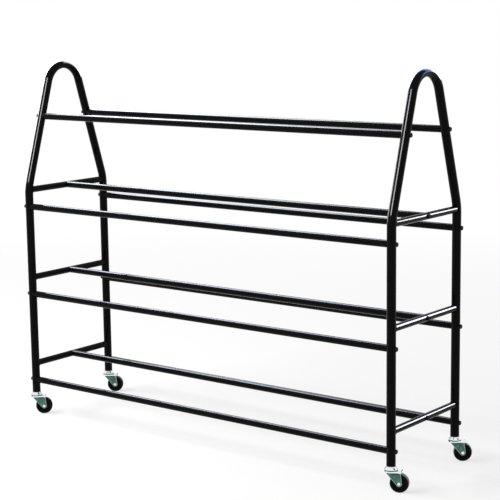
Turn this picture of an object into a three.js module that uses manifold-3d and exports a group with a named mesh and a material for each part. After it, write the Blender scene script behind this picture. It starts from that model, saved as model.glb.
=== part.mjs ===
// Ball cart: a double-sided rack on casters. Two bent-tube end hoops and their crossbars carry
// eleven rails in four tiers.
// Millimetres, +Z up, +X along the rails, +Y to the rear. The origin is on the floor, under the
// middle of the whole cart with its casters as they stand.

import * as THREE from 'three';
import { mergeVertices } from 'three/addons/utils/BufferGeometryUtils.js';
import Module from 'manifold-3d';

const wasm = await Module();
wasm.setup();

// Layout
const frameSpacing = 1475; // between the leg axes, along the cart
const legSpacing = 370; // between the leg axes, across the cart
const topRailSpacing = 222; // between the top rails, where the legs lean in
const bottomRailRise = 44; // from the legs' feet up to the bottom rails
const tierPitch = 307;
const crossbarRise = 58; // from the rails of a tier up to its crossbars
const bendRise = 10; // from the upper crossbars up to the bend of the legs
const archRise = 174; // from the top rails up to the top of the hoops' centre line

// Clearances
const seatGap = 0.3; // between a piece and what it is seated on or shaped to
const runningGap = 0.35; // round a shaft that turns
const cutOverrun = 5; // how far a cutter runs past what it cuts

// End hoops
const legDiameter = 28;
const legWall = 1.5;
const legBendRadius = 150;

// Rails, with a nut pressed into each end
const railDiameter = 22;
const railWall = 1.2;
const railNutLength = 24; // measured from the surface that the rail butts on

// Crossbars
const crossbarDiameter = 22;
const crossbarWall = 1.2;

// Rail bolts: a flanged hexagon head and a shank through the leg into the rail's nut
const boltDiameter = 8;
const boltHoleDiameter = 9;
const boltReach = 20; // past the leg, into the rail
const boltHeadWidth = 13; // across the flats
const boltHeadHeight = 4.8;
const boltFlangeDiameter = 15;
const boltFlangeThickness = 1;

// Leg plugs
const plugLength = 32;

// Caster stems: stem, raceway cap and riveted kingpin in one piece
const stemDiameter = 11;
const stemLength = 28;
const capDiameter = 41;
const capThickness = 11.2;
const capRimHeight = 3; // upright rim of the cap
const capShoulderDiameter = 32;
const capShoulderDrop = 2.7; // from the cap's seat down to its shoulder
const capSeatDiameter = 27; // flat ring that the leg stands on
const kingpinDiameter = 8;
const rivetDiameter = 13;
const rivetThickness = 2.2;

// Forks: a round crown with a turned-down rim, over a channel whose cheeks run back and down to
// the axle
const raceGap = 1.3; // between the cap and the crown
const raceInnerDiameter = 22;
const raceOuterDiameter = 29;
const crownDiameter = 39;
const crownRimDepth = 6; // from the top of the crown down to the foot of its rim
const forkSheet = 2;
const forkGap = 24; // between the cheeks
const crownLevelReach = 16; // the crown is level up to here and falls behind it
const crownRearReach = 33;
const crownFall = 1;
const cheekFrontReach = 13;
const cheekFrontDepth = 6.5; // upright front edge of the cheeks, from the top of the crown
const cheekRearReach = 30;
const cheekRearDepth = 5; // down from the rear end of the crown to where the cheeks turn down
const axleBossRadius = 9;

// Axles
const axleDiameter = 6.4;
const axleHeadDiameter = 10;
const axleHeadHeight = 3.2;
const axleCrownDiameter = 6; // flat on top of the domed head

// Wheels
const wheelDiameter = 58;
const wheelHeadroom = 7.2; // from the top of the tyre up to the underside of the crown
const trail = 25; // wheel axis behind the swivel axis
const tyreWidth = 20;
const tyreDepth = 7;
const tyreShoulder = 2;
const coreRimDepth = 3;
const coreRimWidth = 18;
const coreWebWidth = 9;
const hubDiameter = 17;
const hubEndGap = 0.5; // from the hub to each cheek

// How far each caster has swung round from trailing along +X, in degrees
const casterTurns = { front_left: 43, front_right: 25, rear_left: 34, rear_right: 33 };

// Facets round a full circle
const legSides = 16;
const legBoreSides = 12;
const barSides = 12;
const boltSides = 10;
const holeSides = 8;
const hexSides = 6;
const stemSides = 16;
const wheelSides = 20;

// Steps along curves
const bendSteps = 3;
const archSteps = 12;
const bossSteps = 3;

const ends = [{ name: 'left', sign: -1 }, { name: 'right', sign: 1 }];
const flanks = [{ name: 'front', sign: -1 }, { name: 'rear', sign: 1 }];
const tierNames = ['bottom', 'lower', 'upper', 'top'];

const finishes = {
  coat: new THREE.MeshStandardMaterial({ color: 0x070809, roughness: 0.22, metalness: 0.1 }),
  bolt: new THREE.MeshStandardMaterial({ color: 0x0b0b0c, roughness: 0.4, metalness: 0.6 }),
  zinc: new THREE.MeshStandardMaterial({ color: 0xc9d2d0, roughness: 0.25, metalness: 1 }),
  forkZinc: new THREE.MeshStandardMaterial({ color: 0x7d9c93, roughness: 0.32, metalness: 1 }),
  core: new THREE.MeshStandardMaterial({ color: 0x0e0f10, roughness: 0.5, metalness: 0 }),
  tyre: new THREE.MeshStandardMaterial({ color: 0x0a0b0b, roughness: 0.65, metalness: 0 }),
  plug: new THREE.MeshStandardMaterial({ color: 0x101112, roughness: 0.55, metalness: 0 }),
};

// Heights of the caster's layers, from the wheel up to the leg's foot
const axleHeight = wheelDiameter / 2;
const crownUnder = wheelDiameter + wheelHeadroom;
const rivetTop = crownUnder - seatGap;
const crownTop = crownUnder + forkSheet;
const capUnder = crownTop + raceGap;
const capTop = capUnder + capThickness;
const legFootHeight = capTop + seatGap;

// Heights and shape of the end hoops that follow from the layout
const railHeights = tierNames.map((name, tier) => legFootHeight + bottomRailRise + tier * tierPitch);
const [, , upperRailHeight, topRailHeight] = railHeights;
const bendHeight = upperRailHeight + crossbarRise + bendRise;
const hoopHeight = topRailHeight + archRise;
const lean = Math.atan2((legSpacing - topRailSpacing) / 2, topRailHeight - bendHeight);
const bendRun = legBendRadius * Math.tan(lean / 2);
const archRadius = (Math.cos(lean) * legSpacing / 2 - Math.sin(lean) * (hoopHeight - bendHeight))
  / (1 - Math.sin(lean));
const archHeight = hoopHeight - archRadius;

// Corner radius of the polygon whose flats touch a circle. Every round size here is across flats.
function aroundCircle(radius, sides) {
  return radius / Math.cos(Math.PI / sides);
}

// An arc in the plane x = 0
class FrameArc extends THREE.Curve {
  constructor(centreY, centreZ, radius, startAngle, endAngle) {
    super();
    Object.assign(this, { centreY, centreZ, radius, startAngle, endAngle });
  }

  getPoint(t, target = new THREE.Vector3()) {
    const angle = THREE.MathUtils.lerp(this.startAngle, this.endAngle, t);
    const y = this.centreY + this.radius * Math.cos(angle);
    const z = this.centreZ + this.radius * Math.sin(angle);
    return target.set(0, y, z);
  }

  getTangent(t, target = new THREE.Vector3()) {
    const angle = THREE.MathUtils.lerp(this.startAngle, this.endAngle, t);
    const turn = Math.sign(this.endAngle - this.startAngle);
    return target.set(0, -turn * Math.sin(angle), turn * Math.cos(angle));
  }
}

// Joined curves, sampled at a set number of steps on each
class SteppedPath extends THREE.Curve {
  constructor(runs) {
    super();
    this.stations = runs.flatMap(({ curve, steps }, run) => {
      const marks = Array.from({ length: steps + 1 }, (_, mark) => mark / steps);
      const fresh = run === 0 ? marks : marks.slice(1);
      return fresh.map((t) => ({ point: curve.getPoint(t), tangent: curve.getTangent(t) }));
    });
  }

  get steps() {
    return this.stations.length - 1;
  }

  getPointAt(u, target = new THREE.Vector3()) {
    return target.copy(this.stations[Math.round(u * this.steps)].point);
  }

  getTangentAt(u, target = new THREE.Vector3()) {
    return target.copy(this.stations[Math.round(u * this.steps)].tangent);
  }
}

// The centre line of an end hoop: up the front leg, over the arch and down the rear leg
function hoopLine() {
  const halfSpan = legSpacing / 2;
  const bendStart = bendHeight - bendRun;
  const bendCentre = halfSpan - legBendRadius;
  const frontBend = new FrameArc(-bendCentre, bendStart, legBendRadius, Math.PI, Math.PI - lean);
  const arch = new FrameArc(0, archHeight, archRadius, Math.PI - lean, lean);
  const rearBend = new FrameArc(bendCentre, bendStart, legBendRadius, lean, 0);
  const line = (from, to) => new THREE.LineCurve3(from, to);
  return new SteppedPath([
    { curve: line(new THREE.Vector3(0, -halfSpan, legFootHeight), frontBend.getPoint(0)), steps: 1 },
    { curve: frontBend, steps: bendSteps },
    { curve: line(frontBend.getPoint(1), arch.getPoint(0)), steps: 1 },
    { curve: arch, steps: archSteps },
    { curve: line(arch.getPoint(1), rearBend.getPoint(0)), steps: 1 },
    { curve: rearBend, steps: bendSteps },
    { curve: line(rearBend.getPoint(1), new THREE.Vector3(0, halfSpan, legFootHeight)), steps: 1 },
  ]);
}

// A round section as a polygon
function circlePoints(radius, sides) {
  const reach = aroundCircle(radius, sides);
  return Array.from({ length: sides }, (_, corner) => {
    const angle = (2 * corner + 1) * Math.PI / sides;
    return new THREE.Vector2(reach * Math.cos(angle), reach * Math.sin(angle));
  });
}

function sweptTube(path, radius, boreRadius) {
  const section = new THREE.Shape(circlePoints(radius, legSides));
  if (boreRadius) section.holes.push(new THREE.Path(circlePoints(boreRadius, legBoreSides)));
  const options = { steps: path.steps, extrudePath: path, bevelEnabled: false };
  return new THREE.ExtrudeGeometry(section, options);
}

// A turned shape about the Y axis. Profile points are [radius, place along the axis].
function turned(profile, sides) {
  const points = profile.map(([radius, place]) => (
    new THREE.Vector2(aroundCircle(radius, sides), place)));
  return new THREE.LatheGeometry(points, sides, Math.PI / sides);
}

// A turned ring: the profile closes on itself
function turnedRing(profile, sides) {
  return turned([...profile, profile[0]], sides);
}

// A plain round bar about the Y axis, centred on the origin
function roundBar(radius, length, sides) {
  const end = length / 2;
  return turned([[0, -end], [radius, -end], [radius, end], [0, end]], sides);
}

function alongX(geometry) {
  return geometry.rotateZ(-Math.PI / 2);
}

function alongZ(geometry) {
  return geometry.rotateX(Math.PI / 2);
}

// Triangles that have shrunk to a line, as at a lathe's axis, are left out of the solid
function solidFrom(geometry) {
  const bare = new THREE.BufferGeometry();
  bare.setAttribute('position', geometry.getAttribute('position'));
  bare.setIndex(geometry.getIndex());
  const merged = mergeVertices(bare);
  const corners = merged.getIndex().array;
  const kept = [];
  for (let at = 0; at < corners.length; at += 3) {
    const [a, b, c] = corners.slice(at, at + 3);
    if (a !== b && b !== c && c !== a) kept.push(a, b, c);
  }
  return new wasm.Manifold(new wasm.Mesh({
    numProp: 3,
    vertProperties: new Float32Array(merged.getAttribute('position').array),
    triVerts: new Uint32Array(kept),
  }));
}

function geometryFrom(solid) {
  const mesh = solid.getMesh();
  const geometry = new THREE.BufferGeometry();
  geometry.setAttribute('position', new THREE.BufferAttribute(mesh.vertProperties, 3));
  geometry.setIndex(new THREE.BufferAttribute(mesh.triVerts, 1));
  geometry.computeVertexNormals();
  return geometry;
}

function cut(geometry, cutters) {
  const left = cutters.reduce((solid, cutter) => solid.subtract(solidFrom(cutter)), solidFrom(geometry));
  return geometryFrom(left);
}

function joined(geometries) {
  const [first, ...others] = geometries.map(solidFrom);
  return geometryFrom(others.reduce((solid, other) => solid.add(other), first));
}

function part(name, geometry, material) {
  const mesh = new THREE.Mesh(geometry, material);
  mesh.name = name;
  return mesh;
}

// Where the front and rear rails of a tier lie: on the legs' axes
function railOffset(tier) {
  return (railHeights[tier] === topRailHeight ? topRailSpacing : legSpacing) / 2;
}

const path = hoopLine();

function hoopShape() {
  const holeLength = legDiameter + 2 * cutOverrun;
  const holes = tierNames.flatMap((name, tier) => flanks.map(({ sign }) => {
    const hole = alongX(roundBar(boltHoleDiameter / 2, holeLength, holeSides));
    return hole.translate(0, sign * railOffset(tier), railHeights[tier]);
  }));
  return cut(sweptTube(path, legDiameter / 2, legDiameter / 2 - legWall), holes);
}

// What a rail's or crossbar's end is cut to, so that it fits round the leg
function legCutter() {
  return sweptTube(path, legDiameter / 2 + seatGap);
}

// A rail about the origin, before its ends are shaped. buttRadius is the radius of the tube
// that it butts on.
function railBlank(buttRadius) {
  const half = frameSpacing / 2;
  const radius = railDiameter / 2;
  const bore = radius - railWall;
  const thread = boltHoleDiameter / 2;
  const nutEnd = half - buttRadius - railNutLength;
  return alongX(turnedRing([
    [radius, -half], [radius, half], [thread, half], [thread, nutEnd],
    [bore, nutEnd], [bore, -nutEnd], [thread, -nutEnd], [thread, -half],
  ], barSides));
}

function legRailShape(y, z) {
  const cutters = ends.map(({ sign }) => legCutter().translate(sign * frameSpacing / 2, -y, -z));
  return cut(railBlank(legDiameter / 2), cutters);
}

function middleRailShape() {
  const length = railDiameter + 2 * cutOverrun;
  const cutters = ends.map(({ sign }) => (
    roundBar(crossbarDiameter / 2 + seatGap, length, barSides).translate(sign * frameSpacing / 2, 0, 0)));
  return cut(railBlank(crossbarDiameter / 2), cutters);
}

// A crossbar along Y, welded between the legs, with the hole for the middle rail's bolt
function crossbarShape(z) {
  const radius = crossbarDiameter / 2;
  const bore = radius - crossbarWall;
  const half = legSpacing / 2;
  const blank = turnedRing([[radius, -half], [radius, half], [bore, half], [bore, -half]], barSides);
  const hole = alongX(roundBar(boltHoleDiameter / 2, crossbarDiameter + 2 * cutOverrun, holeSides));
  return cut(blank, [legCutter().translate(0, 0, -z), hole]);
}

// A rail bolt along X about the leg's axis, its head towards +X
function boltShape() {
  const seat = legDiameter / 2 + seatGap;
  const flangeTop = seat + boltFlangeThickness;
  const tip = -(legDiameter / 2 + boltReach);
  const shankRadius = boltDiameter / 2;
  const flangeRadius = boltFlangeDiameter / 2;
  const shank = alongX(turned([
    [0, tip], [shankRadius, tip], [shankRadius, seat],
    [flangeRadius, seat], [flangeRadius, flangeTop], [0, flangeTop],
  ], boltSides));
  const headLength = boltFlangeThickness + boltHeadHeight;
  const head = alongX(roundBar(boltHeadWidth / 2, headLength, hexSides));
  head.translate(seat + headLength / 2, 0, 0);
  return joined([shank, head]);
}

// A plug in the leg's foot, with the bore for the caster's stem
function plugShape() {
  const radius = legDiameter / 2 - legWall - seatGap;
  const bore = stemDiameter / 2 + seatGap;
  const top = legFootHeight + plugLength;
  return alongZ(turnedRing([
    [radius, legFootHeight], [radius, top], [bore, top], [bore, legFootHeight],
  ], legBoreSides));
}

// Stem, cap and kingpin, on the swivel axis
function stemShape() {
  const stemRadius = stemDiameter / 2;
  const capRadius = capDiameter / 2;
  const pinRadius = kingpinDiameter / 2;
  const rivetRadius = rivetDiameter / 2;
  const shoulderRadius = capShoulderDiameter / 2;
  const seatRadius = capSeatDiameter / 2;
  const stemTop = legFootHeight + stemLength;
  return alongZ(turned([
    [0, rivetTop - rivetThickness], [rivetRadius, rivetTop - rivetThickness],
    [rivetRadius, rivetTop], [pinRadius, rivetTop], [pinRadius, capUnder], [capRadius, capUnder],
    [capRadius, capUnder + capRimHeight], [shoulderRadius, capTop - capShoulderDrop],
    [seatRadius, capTop], [stemRadius, capTop], [stemRadius, stemTop], [0, stemTop],
  ], stemSides));
}

// Direction, from the boss's centre, of the point where a line from [x, z] touches the boss
function touchAngle(x, z, side) {
  const away = Math.atan2(z - axleHeight, x - trail);
  const distance = Math.hypot(x - trail, z - axleHeight);
  return away + side * Math.acos(axleBossRadius / distance);
}

// The outline of the fork's cheeks, seen from the side: x runs back from the swivel axis
function cheekOutline() {
  const frontFoot = crownTop - cheekFrontDepth;
  const rearTop = crownTop - crownFall;
  const rearFoot = rearTop - cheekRearDepth;
  const outline = new THREE.Shape();
  outline.moveTo(-cheekFrontReach, crownTop);
  outline.lineTo(-cheekFrontReach, frontFoot);
  const frontTouch = touchAngle(-cheekFrontReach, frontFoot, 1);
  const rearTouch = touchAngle(cheekRearReach, rearFoot, -1);
  outline.absarc(trail, axleHeight, axleBossRadius, frontTouch, rearTouch, false);
  outline.lineTo(cheekRearReach, rearFoot);
  outline.lineTo(crownRearReach, rearTop);
  outline.lineTo(crownLevelReach, crownTop);
  return outline;
}

// The space between the cheeks, under the crown, from a place on the fork's length to its rear
function channelOutline(front) {
  const rear = crownRearReach + cutOverrun;
  const rise = (rear - crownLevelReach) * crownFall / (crownRearReach - crownLevelReach);
  const foot = -cutOverrun;
  return new THREE.Shape([
    new THREE.Vector2(front, crownUnder),
    new THREE.Vector2(front, foot),
    new THREE.Vector2(rear, foot),
    new THREE.Vector2(rear, crownUnder - rise),
    new THREE.Vector2(crownLevelReach, crownUnder),
  ]);
}

// An outline in x and z, given a width across Y and centred on it
function across(outline, width) {
  const options = { depth: width, bevelEnabled: false, curveSegments: bossSteps };
  return new THREE.ExtrudeGeometry(outline, options).rotateX(Math.PI / 2).translate(0, width / 2, 0);
}

function forkShape() {
  const bore = kingpinDiameter / 2 + runningGap;
  const crownRadius = crownDiameter / 2;
  const raceTop = capUnder - seatGap;
  const raceInner = raceInnerDiameter / 2;
  const raceOuter = raceOuterDiameter / 2;
  const rimFoot = crownTop - crownRimDepth;
  const rimInner = crownRadius - forkSheet;
  const crown = alongZ(turnedRing([
    [crownRadius, rimFoot], [crownRadius, crownTop], [raceOuter, crownTop],
    [raceOuter, raceTop], [raceInner, raceTop], [raceInner, crownTop], [bore, crownTop],
    [bore, crownUnder], [rimInner, crownUnder], [rimInner, rimFoot],
  ], stemSides));
  const width = forkGap + 2 * forkSheet;
  const pinBore = alongZ(roundBar(bore, forkSheet + 2 * cutOverrun, stemSides));
  pinBore.translate(0, 0, crownTop - forkSheet / 2);
  const axleHole = roundBar(axleDiameter / 2 + seatGap, width + 2 * cutOverrun, boltSides);
  axleHole.translate(trail, 0, axleHeight);
  const channel = across(channelOutline(-cheekFrontReach - cutOverrun), forkGap);
  const cheeks = cut(across(cheekOutline(), width), [channel, pinBore]);
  return cut(joined([cheeks, crown]), [across(channelOutline(0), forkGap), axleHole]);
}

function axleShape() {
  const shaft = axleDiameter / 2;
  const seat = forkGap / 2 + forkSheet + seatGap;
  const tip = seat + axleHeadHeight;
  const rim = seat + axleHeadHeight / 2;
  const head = axleHeadDiameter / 2;
  const flat = axleCrownDiameter / 2;
  return turned([
    [0, -tip], [flat, -tip], [head, -rim], [head, -seat], [shaft, -seat],
    [shaft, seat], [head, seat], [head, rim], [flat, tip], [0, tip],
  ], boltSides);
}

const coreRadius = wheelDiameter / 2 - tyreDepth;

function coreShape() {
  const bore = axleDiameter / 2 + runningGap;
  const rimInner = coreRadius - coreRimDepth;
  const hub = hubDiameter / 2;
  const hubEnd = forkGap / 2 - hubEndGap;
  const webEnd = coreWebWidth / 2;
  const rimEnd = coreRimWidth / 2;
  return turnedRing([
    [bore, -hubEnd], [hub, -hubEnd], [hub, -webEnd], [rimInner, -webEnd],
    [rimInner, -rimEnd], [coreRadius, -rimEnd], [coreRadius, rimEnd], [rimInner, rimEnd],
    [rimInner, webEnd], [hub, webEnd], [hub, hubEnd], [bore, hubEnd],
  ], wheelSides);
}

function tyreShape() {
  const inner = coreRadius + seatGap;
  const tread = wheelDiameter / 2;
  const wall = tread - tyreShoulder;
  const half = tyreWidth / 2;
  const treadHalf = half - tyreShoulder;
  return turnedRing([
    [inner, -half], [wall, -half], [tread, -treadHalf],
    [tread, treadHalf], [wall, half], [inner, half],
  ], wheelSides);
}

// Repeated shapes, made once
const shapes = {
  hoop: hoopShape(),
  bolt: boltShape(),
  plug: plugShape(),
  stem: stemShape(),
  fork: forkShape(),
  axle: axleShape(),
  core: coreShape(),
  tyre: tyreShape(),
  middleRail: middleRailShape(),
  legRails: tierNames.map((name, tier) => flanks.map(({ sign }) => (
    legRailShape(sign * railOffset(tier), railHeights[tier])))),
};

// One end: the hoop and its welded crossbars
function endFrame({ name, sign }) {
  const frame = new THREE.Group();
  frame.position.x = sign * frameSpacing / 2;
  frame.add(part(`${name}_end_hoop`, shapes.hoop, finishes.coat));
  tierNames.filter((tierName) => tierName !== 'top').forEach((tierName, tier) => {
    const height = railHeights[tier] + crossbarRise;
    const crossbar = part(`${name}_${tierName}_crossbar`, crossbarShape(height), finishes.coat);
    crossbar.position.z = height;
    frame.add(crossbar);
  });
  return frame;
}

// The rails of one tier, with the bolts of its front and rear rails
function tierOfRails(tierName, tier) {
  const rails = new THREE.Group();
  rails.position.z = railHeights[tier];
  flanks.forEach((flank, side) => {
    const y = flank.sign * railOffset(tier);
    const rail = part(`${tierName}_${flank.name}_rail`, shapes.legRails[tier][side], finishes.coat);
    rail.position.y = y;
    rails.add(rail);
    ends.forEach((end) => {
      const bolt = part(`${tierName}_${flank.name}_rail_${end.name}_bolt`, shapes.bolt, finishes.bolt);
      bolt.position.set(end.sign * frameSpacing / 2, y, 0);
      bolt.rotation.z = end.sign < 0 ? Math.PI : 0;
      rails.add(bolt);
    });
  });
  if (tierName !== 'top') {
    const middle = part(`${tierName}_middle_rail`, shapes.middleRail, finishes.coat);
    middle.position.z = crossbarRise;
    rails.add(middle);
  }
  return rails;
}

// A caster under one leg: the plug and stem stay with the leg, the rest swivels
function casterAt(end, flank) {
  const corner = `${flank.name}_${end.name}`;
  const caster = new THREE.Group();
  caster.position.set(end.sign * frameSpacing / 2, flank.sign * legSpacing / 2, 0);
  caster.add(part(`${corner}_leg_plug`, shapes.plug, finishes.plug));
  caster.add(part(`${corner}_caster_stem`, shapes.stem, finishes.zinc));
  const swivel = new THREE.Group();
  swivel.rotation.z = THREE.MathUtils.degToRad(casterTurns[corner]);
  swivel.add(part(`${corner}_fork`, shapes.fork, finishes.forkZinc));
  const wheel = new THREE.Group();
  wheel.position.set(trail, 0, axleHeight);
  wheel.add(part(`${corner}_axle`, shapes.axle, finishes.zinc));
  wheel.add(part(`${corner}_wheel_core`, shapes.core, finishes.core));
  wheel.add(part(`${corner}_tyre`, shapes.tyre, finishes.tyre));
  swivel.add(wheel);
  caster.add(swivel);
  return caster;
}

function ballCart() {
  const cart = new THREE.Group();
  ends.forEach((end) => cart.add(endFrame(end)));
  tierNames.forEach((tierName, tier) => cart.add(tierOfRails(tierName, tier)));
  ends.forEach((end) => flanks.forEach((flank) => cart.add(casterAt(end, flank))));
  const middle = new THREE.Box3().setFromObject(cart, true).getCenter(new THREE.Vector3());
  cart.position.set(-middle.x, -middle.y, 0);
  return cart;
}

export default ballCart();
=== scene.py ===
"""The look of a ball cart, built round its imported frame.

Metres, +Z up, +X along the rails and +Y to the rear, as in the frame. The sizes of a caster's
pressed and turned pieces are written in millimetres, in the frame of one caster: the origin is on
the floor under its swivel axis and +X runs back towards the wheel.
"""

from __future__ import annotations

import logging
import math
from dataclasses import dataclass, field
from enum import Enum
from typing import Callable, Iterable, Sequence

import bpy
import numpy as np
from mathutils import Matrix, Vector


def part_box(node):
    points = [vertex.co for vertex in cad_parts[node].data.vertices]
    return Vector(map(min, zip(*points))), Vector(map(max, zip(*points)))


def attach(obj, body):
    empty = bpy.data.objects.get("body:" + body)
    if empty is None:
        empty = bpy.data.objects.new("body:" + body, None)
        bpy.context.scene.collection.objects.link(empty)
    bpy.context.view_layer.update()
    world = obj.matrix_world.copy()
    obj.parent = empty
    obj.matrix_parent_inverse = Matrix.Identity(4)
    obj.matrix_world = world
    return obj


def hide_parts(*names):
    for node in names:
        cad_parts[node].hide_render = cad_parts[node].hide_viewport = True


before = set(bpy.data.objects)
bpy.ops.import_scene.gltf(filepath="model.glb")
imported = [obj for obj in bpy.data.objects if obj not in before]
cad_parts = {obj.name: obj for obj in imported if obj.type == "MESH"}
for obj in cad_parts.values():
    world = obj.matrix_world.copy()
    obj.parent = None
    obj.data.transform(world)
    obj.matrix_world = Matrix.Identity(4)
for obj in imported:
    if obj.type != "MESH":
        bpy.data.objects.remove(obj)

log = logging.getLogger("ball_cart")

MM = 0.001
SEED = 11
CART_BODY = "cart_frame"

Colour = tuple[float, float, float]
Place = tuple[float, float, float]
Outline = list[tuple[float, float]]
Faces = list[tuple[int, ...]]
Ends = list[tuple[np.ndarray, np.ndarray]]


class Named(Enum):
    """A choice whose name stands in the names of nodes and pieces."""

    @property
    def word(self) -> str:
        """The name as it stands there."""
        return self.name.lower()


class End(Named):
    """The two ends of the cart."""

    LEFT = -1
    RIGHT = 1

    @property
    def facing(self) -> float:
        """The turn about Z that points +X outwards at this end."""
        return 0.0 if self is End.RIGHT else math.pi


class Flank(Named):
    """The two long sides of the cart."""

    FRONT = -1
    REAR = 1


class Tier(Named):
    """The four tiers of rails, from the floor up."""

    BOTTOM = 0
    LOWER = 1
    UPPER = 2
    TOP = 3


class Axis(Enum):
    """The axis that a turned shape is made about."""

    UPRIGHT = "z"
    ACROSS = "y"


class Slot(Enum):
    """Names of the record's material slots, passed with each new piece."""

    COAT = "powder_coat"
    BOLT = "black_bolt"
    ZINC = "bright_zinc"
    FORK = "fork_zinc"
    CORE = "core_plastic"
    TYRE = "tyre_rubber"


class Crease(Enum):
    """The angle in degrees above which a piece's edges stay sharp."""

    BOLT = 30.0
    BAR = 38.0
    TURNED = 40.0
    HOOP = 50.0
    FORK = 60.0


class Tree(Enum):
    """The kinds of node group."""

    SHADER = "ShaderNodeTree"
    GEOMETRY = "GeometryNodeTree"


class Socket(Enum):
    """The kinds of socket that the node groups have."""

    FLOAT = "NodeSocketFloat"
    INT = "NodeSocketInt"
    VECTOR = "NodeSocketVector"
    GEOMETRY = "NodeSocketGeometry"
    OBJECT = "NodeSocketObject"
    MATERIAL = "NodeSocketMaterial"


# ---- Node trees ---------------------------------------------------------------------------------


class Graph:
    """Adds nodes to a node tree and joins them."""

    def __init__(self, tree: bpy.types.NodeTree) -> None:
        """Starts on a shader or geometry tree."""
        self.tree = tree

    def node(
        self, kind: str, inputs: dict[str | int, object] | None = None, **settings: object
    ) -> bpy.types.Node:
        """Adds a node.

        Args:
            kind: the node's type name.
            inputs: what feeds its inputs, by their names or places.
            settings: attributes to set on it.

        Returns:
            The new node.
        """
        made = self.tree.nodes.new(kind)
        for key, value in settings.items():
            setattr(made, key, value)
        for key, value in (inputs or {}).items():
            self.feed(made.inputs[key], value)
        return made

    def feed(self, socket: bpy.types.NodeSocket, value: object) -> None:
        """Links a socket to another, or sets its value.

        Args:
            socket: the input socket.
            value: an output socket, a number, a colour or a vector.
        """
        if isinstance(value, bpy.types.NodeSocket):
            self.tree.links.new(value, socket)
        elif socket.type == "RGBA":
            socket.default_value = (*value, 1.0)
        else:
            socket.default_value = value

    def math(self, operation: str, first: object, second: object = 0.0) -> bpy.types.NodeSocket:
        """Adds a Math node and returns its result."""
        return self.node("ShaderNodeMath", {0: first, 1: second}, operation=operation).outputs[0]

    def spread(
        self, value: object, low: float, high: float, start: object = 0.0, end: object = 1.0
    ) -> bpy.types.NodeSocket:
        """Maps the range from low to high to the one from start to end, clamped."""
        inputs = dict(enumerate((value, low, high, start, end)))
        return self.node("ShaderNodeMapRange", inputs, clamp=True).outputs[0]

    def mix(self, share: object, first: object, second: object) -> bpy.types.NodeSocket:
        """Mixes two colours by a share and returns the colour."""
        inputs = {0: share, 6: first, 7: second}
        return self.node("ShaderNodeMix", inputs, data_type="RGBA").outputs[2]

    def noise(
        self, vector: object, scale: object, detail: float = 2.0, rough: float = 0.5
    ) -> bpy.types.NodeSocket:
        """Adds a noise texture and returns its value."""
        inputs = {"Vector": vector, "Scale": scale, "Detail": detail, "Roughness": rough}
        return self.node("ShaderNodeTexNoise", inputs).outputs[0]

    def dressed(self, geometry: object, material: object, smooth: bool) -> bpy.types.NodeSocket:
        """Makes instances real and gives them their material.

        Args:
            geometry: the geometry's socket.
            material: the material's socket.
            smooth: whether all its faces are shaded smooth.

        Returns:
            The finished geometry's socket.
        """
        real = self.node("GeometryNodeRealizeInstances", {0: geometry}).outputs[0]
        if smooth:
            real = self.node("GeometryNodeSetShadeSmooth", {"Geometry": real}).outputs[0]
        inputs = {"Geometry": real, "Material": material}
        return self.node("GeometryNodeSetMaterial", inputs).outputs[0]


def new_group(
    name: str, kind: Tree, inputs: dict[str, tuple[Socket, object]], output: tuple[str, Socket]
) -> tuple[Graph, bpy.types.NodeOutputs, bpy.types.NodeSocket]:
    """Starts a node group with named sockets.

    Args:
        name: the group's name.
        kind: what sort of tree it is.
        inputs: each input's name, with its kind and its default, or None.
        output: the output's name and kind.

    Returns:
        The graph, what the group is given by name, and the socket that takes its result.
    """
    tree = bpy.data.node_groups.new(name, kind.value)
    for key, (socket, default) in inputs.items():
        item = tree.interface.new_socket(key, in_out="INPUT", socket_type=socket.value)
        if default is not None:
            item.default_value = default
    tree.interface.new_socket(output[0], in_out="OUTPUT", socket_type=output[1].value)
    graph = Graph(tree)
    given = graph.node("NodeGroupInput").outputs
    return graph, given, graph.node("NodeGroupOutput").inputs[0]


# ---- Effects that several finishes share --------------------------------------------------------


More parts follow.
